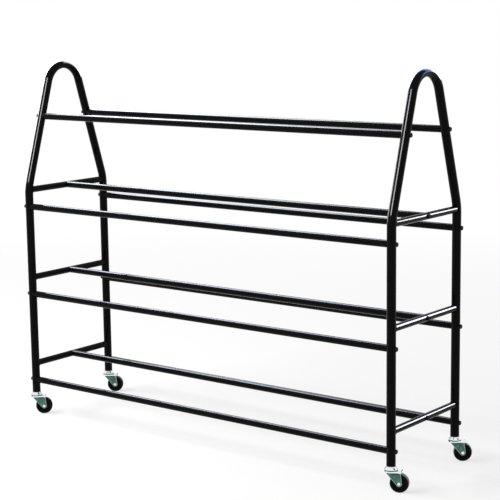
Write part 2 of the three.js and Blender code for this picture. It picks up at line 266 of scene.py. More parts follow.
@dataclass(frozen=True)
class SharedEffects:
    """The shader groups that more than one finish places, built once."""

    patches: bpy.types.NodeTree
    relief: bpy.types.NodeTree
    rubs: bpy.types.NodeTree
    rings: bpy.types.NodeTree

    @classmethod
    def build(cls) -> "SharedEffects":
        """Builds the groups."""
        return cls(cls._patches(), cls._relief(), cls._rubs(), cls._rings())

    @staticmethod
    def _patches() -> bpy.types.NodeTree:
        """Slow cloudy variation between two values.

        Returns:
            The group.
        """
        inputs = {
            "Vector": (Socket.VECTOR, None),
            "Scale": (Socket.FLOAT, 20.0),
            "Low": (Socket.FLOAT, 0.2),
            "High": (Socket.FLOAT, 0.3),
        }
        graph, given, result = new_group(
            "slow_patches", Tree.SHADER, inputs, ("Value", Socket.FLOAT)
        )
        cloud = graph.noise(given["Vector"], given["Scale"], 4.0, 0.55)
        graph.feed(result, graph.spread(cloud, 0.32, 0.68, given["Low"], given["High"]))
        return graph.tree

    @staticmethod
    def _relief() -> bpy.types.NodeTree:
        """Fine relief: a rolling layer with a finer grain on it.

        Returns:
            The group.
        """
        inputs = {
            "Vector": (Socket.VECTOR, None),
            "Roll Scale": (Socket.FLOAT, 400.0),
            "Grain Scale": (Socket.FLOAT, 2500.0),
            "Grain Share": (Socket.FLOAT, 0.2),
        }
        graph, given, result = new_group(
            "fine_relief", Tree.SHADER, inputs, ("Height", Socket.FLOAT)
        )
        roll = graph.noise(given["Vector"], given["Roll Scale"], 1.0)
        grain = graph.noise(given["Vector"], given["Grain Scale"], 2.0)
        fine = graph.math("MULTIPLY", grain, given["Grain Share"])
        graph.feed(result, graph.math("ADD", roll, fine))
        return graph.tree

    @staticmethod
    def _rubs() -> bpy.types.NodeTree:
        """Small rub marks: short streaks, kept to a few worn places.

        Returns:
            The group.
        """
        inputs = {
            "Vector": (Socket.VECTOR, None),
            "Streak Scale": (Socket.FLOAT, 300.0),
            "Place Scale": (Socket.FLOAT, 9.0),
            "Cover": (Socket.FLOAT, 0.3),
        }
        graph, given, result = new_group("rub_marks", Tree.SHADER, inputs, ("Mask", Socket.FLOAT))
        lean = {"Vector": given["Vector"], "Rotation": (0.5, 0.9, 0.3), "Scale": (0.14, 1.0, 1.0)}
        leaning = graph.node("ShaderNodeMapping", lean).outputs[0]
        streaks = graph.noise(leaning, given["Streak Scale"], 3.0, 0.6)
        places = graph.noise(given["Vector"], given["Place Scale"], 2.0)
        fine = graph.spread(streaks, 0.60, 0.70)
        threshold = graph.math("SUBTRACT", 0.74, graph.math("MULTIPLY", given["Cover"], 0.3))
        above = graph.math("SUBTRACT", places, threshold)
        graph.feed(result, graph.math("MULTIPLY", fine, graph.spread(above, 0.0, 0.08)))
        return graph.tree

    @staticmethod
    def _rings() -> bpy.types.NodeTree:
        """Fine rings round the Z axis of the given vector, as turning or rolling leaves.

        Returns:
            The group.
        """
        inputs = {"Vector": (Socket.VECTOR, None), "Pitch": (Socket.FLOAT, 0.0006)}
        graph, given, result = new_group(
            "turned_rings", Tree.SHADER, inputs, ("Height", Socket.FLOAT)
        )
        parts = graph.node("ShaderNodeSeparateXYZ", {0: given["Vector"]}).outputs
        flat = graph.node("ShaderNodeCombineXYZ", {0: parts[0], 1: parts[1]}).outputs[0]
        length = graph.node("ShaderNodeVectorMath", {0: flat}, operation="LENGTH")
        along = graph.math("ADD", length.outputs["Value"], parts[2])
        line = {"W": graph.math("DIVIDE", along, given["Pitch"]), "Scale": 1.0, "Detail": 2.0}
        rings = graph.node("ShaderNodeTexNoise", line, noise_dimensions="1D")
        graph.feed(result, rings.outputs[0])
        return graph.tree


EFFECTS = SharedEffects.build()


class Skin(Graph):
    """A material under construction: a Principled shader and Object coordinates."""

    def __init__(self, name: str) -> None:
        """Starts a material.

        Args:
            name: the material's name.
        """
        self.material = bpy.data.materials.new(name)
        self.material.use_nodes = True
        super().__init__(self.material.node_tree)
        self.shader = next(n for n in self.tree.nodes if n.type == "BSDF_PRINCIPLED")
        self.place = self.node("ShaderNodeTexCoord").outputs["Object"]

    def set(self, **values: object) -> None:
        """Feeds the shader's sockets, with spaces in their names written as underscores."""
        for key, value in values.items():
            self.feed(self.shader.inputs[key.replace("_", " ")], value)

    def effect(self, tree: bpy.types.NodeTree, **values: object) -> bpy.types.NodeSocket:
        """Places a shared effect, with spaces in its inputs' names written as underscores."""
        inputs = {key.replace("_", " "): value for key, value in values.items()}
        return self.node("ShaderNodeGroup", inputs, node_tree=tree).outputs[0]

    def patches(self, scale: float, low: float, high: float) -> bpy.types.NodeSocket:
        """Places slow cloudy variation from low to high."""
        return self.effect(EFFECTS.patches, Vector=self.place, Scale=scale, Low=low, High=high)

    def rubs(
        self, cover: float, streak_scale: float = 300.0, place_scale: float = 9.0
    ) -> bpy.types.NodeSocket:
        """Places rub marks that cover a share of the piece."""
        scales = {"Streak_Scale": streak_scale, "Place_Scale": place_scale}
        return self.effect(EFFECTS.rubs, Vector=self.place, Cover=cover, **scales)

    def relief(self, roll: float, grain: float, share: float = 0.2) -> bpy.types.NodeSocket:
        """Places fine relief, from the scales of its rolls and its grain and the grain's share."""
        scales = {"Roll_Scale": roll, "Grain_Scale": grain}
        return self.effect(EFFECTS.relief, Vector=self.place, Grain_Share=share, **scales)

    def bump(self, height: object, depth: float) -> None:
        """Feeds the shader's normal from a height, where 1 stands for a depth in metres."""
        made = self.node("ShaderNodeBump", {"Strength": 1.0, "Distance": depth, "Height": height})
        self.feed(self.shader.inputs["Normal"], made.outputs[0])

    def centred(self, centre: Vector, turn: Sequence[float]) -> bpy.types.NodeSocket:
        """Object coordinates in a piece's own frame, from its centre and its rotation."""
        inputs = {"Vector": self.place, "Location": centre, "Rotation": turn}
        return self.node("ShaderNodeMapping", inputs, vector_type="TEXTURE").outputs[0]


# ---- Finishes -----------------------------------------------------------------------------------


@dataclass(frozen=True)
class PowderCoat:
    """Glossy black powder coat on steel tube, with orange peel and a few rub marks."""

    name: str = "glossy_black_powder_coat"
    black: Colour = (0.0008, 0.0009, 0.0013)
    faded: Colour = (0.0018, 0.0019, 0.0024)
    rubbed: Colour = (0.014, 0.014, 0.016)
    peel_depth: float = 0.000004

    def material(self) -> bpy.types.Material:
        """Builds the material.

        Returns:
            The coat.
        """
        skin = Skin(self.name)
        marks = skin.rubs(0.35)
        colour = skin.mix(skin.patches(14.0, 0.0, 1.0), self.black, self.faded)
        gloss = skin.patches(45.0, 0.09, 0.13)
        skin.set(
            Base_Color=skin.mix(marks, colour, self.rubbed),
            Roughness=skin.math("ADD", gloss, skin.math("MULTIPLY", marks, 0.25)),
            Specular_IOR_Level=0.06,
        )
        skin.bump(skin.relief(620.0, 2600.0, 0.12), self.peel_depth)
        return skin.material


@dataclass(frozen=True)
class BlackBolt:
    """Blackened steel, satin, rubbed to bare steel in small spots."""

    name: str = "blackened_steel"
    black: Colour = (0.0030, 0.0030, 0.0034)
    bare: Colour = (0.11, 0.11, 0.115)
    grain_depth: float = 0.00002

    def material(self) -> bpy.types.Material:
        """Builds the material.

        Returns:
            The steel.
        """
        skin = Skin(self.name)
        marks = skin.rubs(0.55, 700.0, 160.0)
        skin.set(
            Base_Color=skin.mix(marks, self.black, self.bare),
            Metallic=skin.math("MULTIPLY", marks, 0.8),
            Roughness=skin.patches(320.0, 0.28, 0.42),
            Specular_IOR_Level=0.10,
        )
        skin.bump(skin.relief(900.0, 3800.0), self.grain_depth)
        return skin.material


@dataclass(frozen=True)
class BrightZinc:
    """Bright zinc plate on turned steel, dark in places with grease and painted shade.

    The dark colour lies low on a cap, as grease with the painted shade of the race gap, and round
    the leg's foot on it, as dirt with painted contact shade; a small spot of it is a painted dark
    reflection. A negative size leaves that dark colour out.
    """

    name: str
    centre: Vector
    turn: Place = (0.0, 0.0, 0.0)
    clear: Colour = (0.88, 0.90, 0.91)
    clouded: Colour = (0.72, 0.76, 0.77)
    spotted: Colour = (0.40, 0.42, 0.42)
    # near-black for grease with painted shade: the race gap's painted shade low on a cap, painted
    # contact shade round the leg's foot, and a painted dark reflection
    grease: Colour = (0.006, 0.006, 0.007)
    grease_top: float = -1.0
    grease_fade: float = 0.3 * MM
    foot_radius: float = -1.0
    foot_spread: float = 0.9 * MM
    foot_cover: float = 0.85
    # a small spot painted dark as a painted reflection; the mesh has no dent there
    dimple: Place = (0.0, 0.0, -1.0)
    dimple_core: float = 2.2 * MM
    dimple_rim: float = 3.0 * MM
    ring_pitch: float = 0.5 * MM
    ring_depth: float = 0.000004

    def material(self) -> bpy.types.Material:
        """Builds the material.

        Returns:
            The zinc plate of one piece.
        """
        skin = Skin(self.name)
        own = skin.centred(self.centre, self.turn)
        height = skin.node("ShaderNodeSeparateXYZ", {0: skin.place}).outputs[2]
        # the cap's lowest band is painted dark: grease with the painted shade of the race gap
        low = skin.spread(height, self.grease_top - self.grease_fade, self.grease_top, 1.0, 0.0)
        # a small spot painted dark: a painted reflection
        places = {0: skin.place, 1: self.dimple}
        away = skin.node("ShaderNodeVectorMath", places, operation="DISTANCE").outputs["Value"]
        pressed = skin.spread(away, self.dimple_core, self.dimple_rim, 1.0, 0.0)
        level = {0: own, 1: (1.0, 1.0, 0.0)}
        flat = skin.node("ShaderNodeVectorMath", level, operation="MULTIPLY").outputs["Vector"]
        reach = skin.node("ShaderNodeVectorMath", {0: flat}, operation="LENGTH").outputs["Value"]
        # a ring round the leg's foot is painted dark: dirt with painted contact shade
        foot_end = self.foot_radius + self.foot_spread
        shade_band = skin.spread(reach, self.foot_radius, foot_end, self.foot_cover, 0.0)
        grease_and_shade_share = skin.math("MAXIMUM", low, skin.math("MAXIMUM", pressed, shade_band))
        spots = skin.rubs(0.5, 900.0, 120.0)
        colour = skin.mix(skin.patches(130.0, 0.0, 1.0), self.clear, self.clouded)
        gloss = skin.patches(260.0, 0.06, 0.12)
        skin.set(
            Base_Color=skin.mix(grease_and_shade_share, skin.mix(spots, colour, self.spotted), self.grease),
            Metallic=skin.math("SUBTRACT", 1.0, grease_and_shade_share),
            Roughness=skin.math("ADD", gloss, skin.math("MULTIPLY", spots, 0.15)),
            Specular_IOR_Level=0.2,
        )
        skin.bump(skin.effect(EFFECTS.rings, Vector=own, Pitch=self.ring_pitch), self.ring_depth)
        return skin.material


@dataclass(frozen=True)
class ForkZinc:
    """Zinc plate on pressed steel: bright on the crown, and below it a green tint painted darker as
    painted shade.

    The mesh's attribute of wear and painted shade says where the cheeks' edges are bright, where
    painted shade lies under the crown's rim and inside the fork, and where grease with the painted
    shade of the race gap lies round the race.
    """

    tint_top: float
    tint_foot: float
    name: str = "green_zinc_plate"
    bright: Colour = (0.84, 0.87, 0.88)
    # the cheeks' green tint, painted darker than the crown's bright zinc as painted shade
    green: Colour = (0.100, 0.205, 0.170)
    deep: Colour = (0.042, 0.095, 0.080)
    edge: Colour = (0.25, 0.34, 0.31)
    # the near-black of painted shade, under the crown's rim and inside the fork
    dirt: Colour = (0.006, 0.014, 0.012)
    # the dark of grease with the painted shade of the race gap
    grease: Colour = (0.006, 0.006, 0.007)
    tint_sway: float = 1.6 * MM
    crown_gloss: float = 0.42
    grain_depth: float = 0.00001

    def material(self) -> bpy.types.Material:
        """Builds the material.

        Returns:
            The zinc plate of the forks.
        """
        skin = Skin(self.name)
        wear_and_shade_layer = skin.node("ShaderNodeAttribute", attribute_name="wear").outputs["Color"]
        edge, dirt, grease = skin.node("ShaderNodeSeparateColor", {0: wear_and_shade_layer}).outputs
        height = skin.node("ShaderNodeSeparateXYZ", {0: skin.place}).outputs[2]
        cloud = skin.patches(95.0, 0.0, 1.0)
        sway = skin.math("MULTIPLY", skin.math("SUBTRACT", cloud, 0.5), self.tint_sway)
        # bright zinc on the crown and a darker green below it: the green is the plate's tint, the
        # darkness painted shade
        crown = skin.spread(skin.math("ADD", height, sway), self.tint_foot, self.tint_top)
        rubbed = skin.math("MAXIMUM", skin.rubs(0.7, 600.0, 110.0), edge)
        tint = skin.mix(rubbed, skin.mix(cloud, self.green, self.deep), self.edge)
        # painted shade darkens the fork under the crown's rim and inside it
        colour = skin.mix(dirt, skin.mix(crown, tint, self.bright), self.dirt)
        gloss = skin.spread(crown, 0.0, 1.0, 1.0, self.crown_gloss)
        skin.set(
            # grease with the painted shade of the race gap darkens the crown round the race
            Base_Color=skin.mix(grease, colour, self.grease),
            Metallic=skin.math("SUBTRACT", 1.0, skin.math("MAXIMUM", dirt, grease)),
            Roughness=skin.math("MULTIPLY", skin.patches(240.0, 0.20, 0.34), gloss),
            Specular_IOR_Level=0.2,
        )
        skin.bump(skin.relief(380.0, 2200.0, 0.25), self.grain_depth)
        return skin.material


@dataclass(frozen=True)
class MouldedPlastic:
    """Black moulded plastic with a fine grain and a little dust in it."""

    name: str
    black: Colour = (0.0024, 0.0025, 0.0027)
    dusty: Colour = (0.0065, 0.0065, 0.0066)
    low_gloss: float = 0.36
    high_gloss: float = 0.50
    grain_depth: float = 0.00002

    def material(self) -> bpy.types.Material:
        """Builds the material.

        Returns:
            The plastic.
        """
        skin = Skin(self.name)
        skin.set(
            Base_Color=skin.mix(skin.patches(85.0, 0.0, 0.7), self.black, self.dusty),
            Roughness=skin.patches(210.0, self.low_gloss, self.high_gloss),
            Specular_IOR_Level=0.07,
        )
        skin.bump(skin.relief(1500.0, 5200.0, 0.5), self.grain_depth)
        return skin.material


@dataclass(frozen=True)
class TyreRubber:
    """Black rubber: smooth walls, and a tread painted pale as scuffing with a painted highlight."""

    name: str
    centre: Vector
    turn: float
    radius: float
    # how pale the tread is painted: scuffing with a painted highlight
    scuff: float
    scuff_start: float = 2.4 * MM
    scuff_full: float = 0.5 * MM
    black: Colour = (0.0020, 0.0021, 0.0023)
    dusty: Colour = (0.0050, 0.0050, 0.0050)
    scuffed: Colour = (0.64, 0.63, 0.68)
    grain_depth: float = 0.00003

    def material(self) -> bpy.types.Material:
        """Builds the material.

        Returns:
            The rubber of one tyre.
        """
        skin = Skin(self.name)
        own = skin.centred(self.centre, (0.0, 0.0, self.turn))
        parts = skin.node("ShaderNodeSeparateXYZ", {0: own}).outputs
        squares = [skin.math("MULTIPLY", parts[i], parts[i]) for i in (0, 2)]
        reach = skin.math("SQRT", skin.math("ADD", *squares))
        start, full = self.radius - self.scuff_start, self.radius - self.scuff_full
        # the tread is painted pale: scuffing with a painted highlight
        tread = skin.spread(reach, start, full, 0.0, self.scuff)
        pale = skin.math("MULTIPLY", tread, skin.patches(420.0, 0.35, 1.0))
        wall = skin.mix(skin.patches(70.0, 0.0, 0.8), self.black, self.dusty)
        skin.set(
            Base_Color=skin.mix(pale, wall, self.scuffed),
            Roughness=skin.spread(tread, 0.0, 1.0, 0.42, 0.55),
            Specular_IOR_Level=0.07,
        )
        skin.bump(skin.relief(1100.0, 4200.0, 0.6), self.grain_depth)
        return skin.material


# ---- Mesh helpers -------------------------------------------------------------------------------


def added(name: str, data: bpy.types.ID) -> bpy.types.Object:
    """Adds an object to the scene.

    Args:
        name: its name.
        data: its mesh, lamp or camera.

    Returns:
        The object, at the origin.
    """
    made = bpy.data.objects.new(name, data)
    bpy.context.scene.collection.objects.link(made)
    return made


def sketched(
    name: str, points: Sequence[Place], edges: Sequence[tuple[int, int]] = ()
) -> bpy.types.Object:
    """Adds an object of points and edges only, for a geometry tree to grow on.

    Args:
        name: the object's name.
        points: its points, in metres.
        edges: its edges.

    Returns:
        The object.
    """
    mesh = bpy.data.meshes.new(name)
    mesh.from_pydata(points, edges, [])
    return added(name, mesh)


def signed_volume(points: np.ndarray, faces: Iterable[Sequence[int]]) -> float:
    """The volume that a closed mesh holds.

    Args:
        points: its vertices.
        faces: their corners.

    Returns:
        The volume, negative where the faces point in.
    """
    total = 0.0
    for face in faces:
        first = points[face[0]]
        for a, b in zip(face[1:-1], face[2:]):
            total += float(np.dot(first, np.cross(points[a], points[b])))
    return total / 6.0


def band(here: int, there: int, count: int) -> Faces:
    """The faces between two rings, from each one's first vertex and how many a ring has."""
    steps = [(step, (step + 1) % count) for step in range(count)]
    return [(here + a, here + b, there + b, there + a) for a, b in steps]


def new_piece(
    name: str,
    points: np.ndarray,
    faces: Iterable[Sequence[int]],
    material: bpy.types.Material,
    crease: Crease,
) -> bpy.types.Object:
    """Makes an object of a mesh, smooth but for sharp edges.

    Args:
        name: the object's name.
        points: the vertices, in metres.
        faces: their corners.
        material: its finish.
        crease: above which angle an edge stays sharp.

    Returns:
        The object, at the origin, in the scene.
    """
    corners = [tuple(int(i) for i in face) for face in faces]
    if signed_volume(points, corners) < 0:
        corners = [face[::-1] for face in corners]
    mesh = bpy.data.meshes.new(name)
    mesh.from_pydata(points.tolist(), [], corners)
    mesh.shade_smooth()
    mesh.set_sharp_from_angle(angle=math.radians(crease.value))
    mesh.materials.append(material)
    return added(name, mesh)


def copied(piece: bpy.types.Object, name: str, place: Matrix) -> bpy.types.Object:
    """Copies a piece with its own mesh, moved in the mesh itself.

    Args:
        piece: what is copied.
        name: the copy's name.
        place: where it goes.

    Returns:
        The copy, with its object at the origin.
    """
    mesh = piece.data.copy()
    mesh.name = name
    mesh.transform(place)
    return added(name, mesh)


def rounded(corners: Sequence[Place], closed: bool, steps: int = 5) -> Outline:
    """Rounds an outline's corners with true arcs.

    Args:
        corners: each corner's two places and its rounding radius.
        closed: whether the last corner joins the first.
        steps: the steps along each arc.

    Returns:
        The outline's points.
    """
    longest_run = 0.49  # of a side, so that two corners' arcs never meet
    points: Outline = []
    count = len(corners)
    for index, (x, y, radius) in enumerate(corners):
        at_end = not closed and index in (0, count - 1)
        if radius <= 0 or at_end:
            points.append((x, y))
            continue
        corner = np.array((x, y))
        back = np.array(corners[index - 1][:2]) - corner
        on = np.array(corners[(index + 1) % count][:2]) - corner
        back_length, on_length = np.linalg.norm(back), np.linalg.norm(on)
        back, on = back / back_length, on / on_length
        half = math.acos(float(np.clip(back @ on, -1, 1))) / 2
        run = min(radius / math.tan(half), longest_run * back_length, longest_run * on_length)
        start, end, weight = corner + back * run, corner + on * run, math.sin(half)
        for step in range(steps + 1):
            t = step / steps
            a, b, c = (1 - t) ** 2, 2 * weight * t * (1 - t), t**2
            points.append(tuple((a * start + b * corner + c * end) / (a + b + c)))
    return points


def mirrored(half: Sequence[Place]) -> list[Place]:
    """A half profile's corners on the other side of the middle, in reverse order."""
    return [(radius, -place, bend) for radius, place, bend in half[::-1]]


def turned(profile: Outline, sides: int, axis: Axis) -> tuple[np.ndarray, Faces]:
    """Turns a profile about an axis.

    Args:
        profile: points of radius and place along the axis, in millimetres. It starts and ends on
            the axis, or it closes on itself.
        sides: the faces round the axis.
        axis: the axis that it is turned about.

    Returns:
        The vertices, in metres, and the faces.
    """
    poles = profile[0][0] == 0 and profile[-1][0] == 0
    rings = profile[1:-1] if poles else profile
    angles = np.arange(sides) * 2 * math.pi / sides
    points = [(r * math.cos(a), place, r * math.sin(a)) for r, place in rings for a in angles]
    faces: Faces = []
    last = len(rings) - 1
    for ring in range(last if poles else last + 1):
        faces += band(ring * sides, ((ring + 1) % len(rings)) * sides, sides)
    if poles:
        for place, ring, flip in ((profile[0][1], 0, False), (profile[-1][1], last, True)):
            pole = len(points)
            points.append((0.0, place, 0.0))
            for side in range(sides):
                pair = (ring * sides + side, ring * sides + (side + 1) % sides)
                faces.append((pole, pair[0], pair[1]) if flip else (pole, pair[1], pair[0]))
    made = np.array(points) * MM
    return (made[:, (0, 2, 1)] if axis is Axis.UPRIGHT else made), faces


def grown(
    piece: bpy.types.Object, tree: bpy.types.NodeTree, values: dict[str, object]
) -> bpy.types.Object:
    """Runs a geometry tree on a piece and keeps the result as its plain mesh.

    Args:
        piece: the object that the tree works on.
        tree: the geometry tree.
        values: the tree's named inputs.

    Returns:
        The piece, with the modifier gone.
    """
    modifier = piece.modifiers.new("grow", "NODES")
    modifier.node_group = tree
    for item in tree.interface.items_tree:
        if item.in_out == "INPUT" and item.name in values:
            modifier[item.identifier] = values[item.name]
    piece.update_tag()
    graph = bpy.context.evaluated_depsgraph_get()
    mesh = bpy.data.meshes.new_from_object(piece.evaluated_get(graph), depsgraph=graph)
    mesh.name = piece.name
    piece.modifiers.clear()
    piece.data = mesh
    return piece


# ---- Geometry trees -----------------------------------------------------------------------------


def tube_tree() -> bpy.types.NodeTree:
    """A hollow tube along a path of edges.

    Returns:
        The geometry tree.
    """
    inputs = {
        "Path": (Socket.GEOMETRY, None),
        "Radius": (Socket.FLOAT, 0.0125),
        "Wall": (Socket.FLOAT, 0.0015),
        "Sides": (Socket.INT, 64),
        "Material": (Socket.MATERIAL, None),
    }
    graph, given, result = new_group(
        "tube_along_path", Tree.GEOMETRY, inputs, ("Tube", Socket.GEOMETRY)
    )
    curve = graph.node("GeometryNodeMeshToCurve", {0: given["Path"]}).outputs[0]
    round_it = {"Resolution": given["Sides"], "Radius": given["Radius"]}
    section = graph.node("GeometryNodeCurvePrimitiveCircle", round_it, mode="RADIUS").outputs[0]
    swept = {"Curve": curve, "Profile Curve": section}
    skin = graph.node("GeometryNodeCurveToMesh", swept).outputs[0]
    inward = graph.math("MULTIPLY", given["Wall"], -1.0)
    pushed = {"Mesh": skin, "Offset Scale": inward, "Individual": False}
    bore = graph.node("GeometryNodeExtrudeMesh", pushed, mode="FACES").outputs[0]
    turned_in = graph.node("GeometryNodeFlipFaces", {0: bore}).outputs[0]
    both = graph.node("GeometryNodeJoinGeometry", {0: skin})
    graph.feed(both.inputs[0], turned_in)
    near = {"Geometry": both.outputs[0], "Distance": 1e-6}
    merged = graph.node("GeometryNodeMergeByDistance", near).outputs[0]
    graph.feed(result, graph.dressed(merged, given["Material"], False))
    return graph.tree


def bead_tree() -> bpy.types.NodeTree:
    """Weld beads: overlapping drops along closed paths of edges.

    Returns:
        The geometry tree.
    """
    inputs = {
        "Paths": (Socket.GEOMETRY, None),
        "Spacing": (Socket.FLOAT, 0.0019),
        "Radius": (Socket.FLOAT, 0.0016),
        "Seed": (Socket.INT, SEED),
        "Material": (Socket.MATERIAL, None),
    }
    graph, given, result = new_group(
        "weld_beads", Tree.GEOMETRY, inputs, ("Beads", Socket.GEOMETRY)
    )
    curve = graph.node("GeometryNodeMeshToCurve", {0: given["Paths"]}).outputs[0]
    spaced = {"Curve": curve, "Length": given["Spacing"]}
    marks = graph.node("GeometryNodeCurveToPoints", spaced, mode="LENGTH").outputs
    coarse = {"Segments": 8, "Rings": 5, "Radius": given["Radius"]}
    drop = graph.node("GeometryNodeMeshUVSphere", coarse).outputs[0]
    drawn = {"Min": (0.92, 0.92, 0.80), "Max": (1.12, 1.12, 1.0), "Seed": given["Seed"]}
    sizes = graph.node("FunctionNodeRandomValue", drawn, data_type="FLOAT_VECTOR")
    placed = {
        "Points": marks["Points"],
        "Instance": drop,
        "Rotation": marks["Rotation"],
        "Scale": sizes.outputs["Value"],
    }
    drops = graph.node("GeometryNodeInstanceOnPoints", placed).outputs[0]
    graph.feed(result, graph.dressed(drops, given["Material"], True))
    return graph.tree


def bolt_tree() -> bpy.types.NodeTree:
    """Copies of a bolt head on points, each with its own turn.

    Returns:
        The geometry tree.
    """
    inputs = {
        "Places": (Socket.GEOMETRY, None),
        "Head": (Socket.OBJECT, None),
        "Material": (Socket.MATERIAL, None),
    }
    graph, given, result = new_group(
        "bolts_on_places", Tree.GEOMETRY, inputs, ("Bolts", Socket.GEOMETRY)
    )
    chosen = {"Object": given["Head"]}
    head = graph.node("GeometryNodeObjectInfo", chosen, transform_space="ORIGINAL")
    named = {"Name": "turn"}
    turn = graph.node("GeometryNodeInputNamedAttribute", named, data_type="FLOAT_VECTOR")
    rotation = graph.node("FunctionNodeEulerToRotation", {0: turn.outputs["Attribute"]})
    placed = {
        "Points": given["Places"],
        "Instance": head.outputs["Geometry"],
        "Rotation": rotation.outputs[0],
    }
    heads = graph.node("GeometryNodeInstanceOnPoints", placed).outputs[0]
    graph.feed(result, graph.dressed(heads, given["Material"], False))
    return graph.tree


def race_tree() -> bpy.types.NodeTree:
    """A ring of race balls, level, about a centre.

    Returns:
        The geometry tree.
    """
    inputs = {
        "Mesh": (Socket.GEOMETRY, None),
        "Count": (Socket.INT, 24),
        "Ring Radius": (Socket.FLOAT, 0.0162),
        "Ball Radius": (Socket.FLOAT, 0.0012),
        "Centre": (Socket.VECTOR, None),
        "Material": (Socket.MATERIAL, None),
    }
    graph, given, result = new_group(
        "race_balls", Tree.GEOMETRY, inputs, ("Balls", Socket.GEOMETRY)
    )
    circle = {"Vertices": given["Count"], "Radius": given["Ring Radius"]}
    ring = graph.node("GeometryNodeMeshCircle", circle).outputs[0]
    moved = {"Geometry": ring, "Translation": given["Centre"]}
    placed = graph.node("GeometryNodeTransform", moved).outputs[0]
    sphere = {"Radius": given["Ball Radius"], "Subdivisions": 3}
    ball = graph.node("GeometryNodeMeshIcoSphere", sphere).outputs[0]
    spread = {"Points": placed, "Instance": ball}
    balls = graph.node("GeometryNodeInstanceOnPoints", spread).outputs[0]
    graph.feed(result, graph.dressed(balls, given["Material"], True))
    return graph.tree


# ---- Layout -------------------------------------------------------------------------------------


def centre_of(node: str) -> Vector:
    """The middle of a node's box at rest."""
    low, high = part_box(node)
    return (low + high) / 2


def span_of(node: str) -> Vector:
    """The lengths of a node's box at rest."""
    low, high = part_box(node)
    return high - low


@dataclass(frozen=True)
class Corner:
    """One corner of the cart: its leg, and how its caster stands."""

    name: str
    leg: Vector
    wheel: Vector
    turn: float

    @classmethod
    def read(cls, end: End, flank: Flank) -> "Corner":
        """Reads a corner from the frame.

        Args:
            end: its end of the cart.
            flank: its side of the cart.

        Returns:
            The corner.
        """
        name = f"{flank.word}_{end.word}"
        leg = centre_of(f"{name}_leg_plug")
        wheel = centre_of(f"{name}_tyre")
        away = wheel - leg
        return cls(name, Vector((leg.x, leg.y, 0.0)), wheel, math.atan2(away.y, away.x))

    @property
    def caster_place(self) -> Matrix:
        """From the caster's own frame to the part's."""
        return Matrix.Translation(self.leg) @ Matrix.Rotation(self.turn, 4, "Z")

    @property
    def wheel_place(self) -> Matrix:
        """From a frame at the wheel's centre, its axle along Y, to the part's."""
        return Matrix.Translation(self.wheel) @ Matrix.Rotation(self.turn, 4, "Z")


@dataclass(frozen=True)
class HoopLine:
    """The centre line of an end hoop, in the plane across the cart, about its middle."""

    half_span: float
    foot: float
    top: float
    bend_height: float
    top_rail_reach: float
    top_rail_height: float
    bend_radius: float = 150 * MM

    @property
    def lean(self) -> float:
        """How far the legs lean in above the bend, in radians."""
        run = self.half_span - self.top_rail_reach
        return math.atan2(run, self.top_rail_height - self.bend_height)

    @property
    def bend_start(self) -> float:
        """The height where the legs begin to bend."""
        return self.bend_height - self.bend_radius * math.tan(self.lean / 2)

    @property
    def arch_radius(self) -> float:
        """The radius of the arch at the top.

        Returns:
            The radius that makes the arch run on from the leaning legs.
        """
        across = math.cos(self.lean) * self.half_span
        across -= math.sin(self.lean) * (self.top - self.bend_height)
        return across / (1 - math.sin(self.lean))

    def half(self, bend_steps: int, arch_steps: int) -> list[tuple[float, float]]:
        """The line from a foot up to the top.

        Args:
            bend_steps: the steps round the bend.
            arch_steps: the steps round half the arch.

        Returns:
            For each point how far out it lies, and its height.
        """
        inner = self.half_span - self.bend_radius
        points = [(self.half_span, self.foot)]
        for step in range(bend_steps + 1):
            angle = self.lean * step / bend_steps
            reach = inner + self.bend_radius * math.cos(angle)
            points.append((reach, self.bend_start + self.bend_radius * math.sin(angle)))
        centre = self.top - self.arch_radius
        for step in range(arch_steps + 1):
            angle = self.lean + (math.pi / 2 - self.lean) * step / arch_steps
            reach = self.arch_radius * math.cos(angle)
            points.append((reach, centre + self.arch_radius * math.sin(angle)))
        return points

    def leg_at(self, height: float) -> tuple[float, float]:
        """Where a leg's axis lies at a height.

        Args:
            height: the height above the floor, below the arch.

        Returns:
            How far the axis lies from the middle, and how far it leans in, in radians.
        """
        if height <= self.bend_start:
            return self.half_span, 0.0
        bend_end = self.bend_start + self.bend_radius * math.sin(self.lean)
        if height < bend_end:
            angle = math.asin((height - self.bend_start) / self.bend_radius)
            inner = self.half_span - self.bend_radius
            return inner + self.bend_radius * math.cos(angle), angle
        reach = self.half_span - (height - self.bend_height) * math.tan(self.lean)
        return reach, self.lean


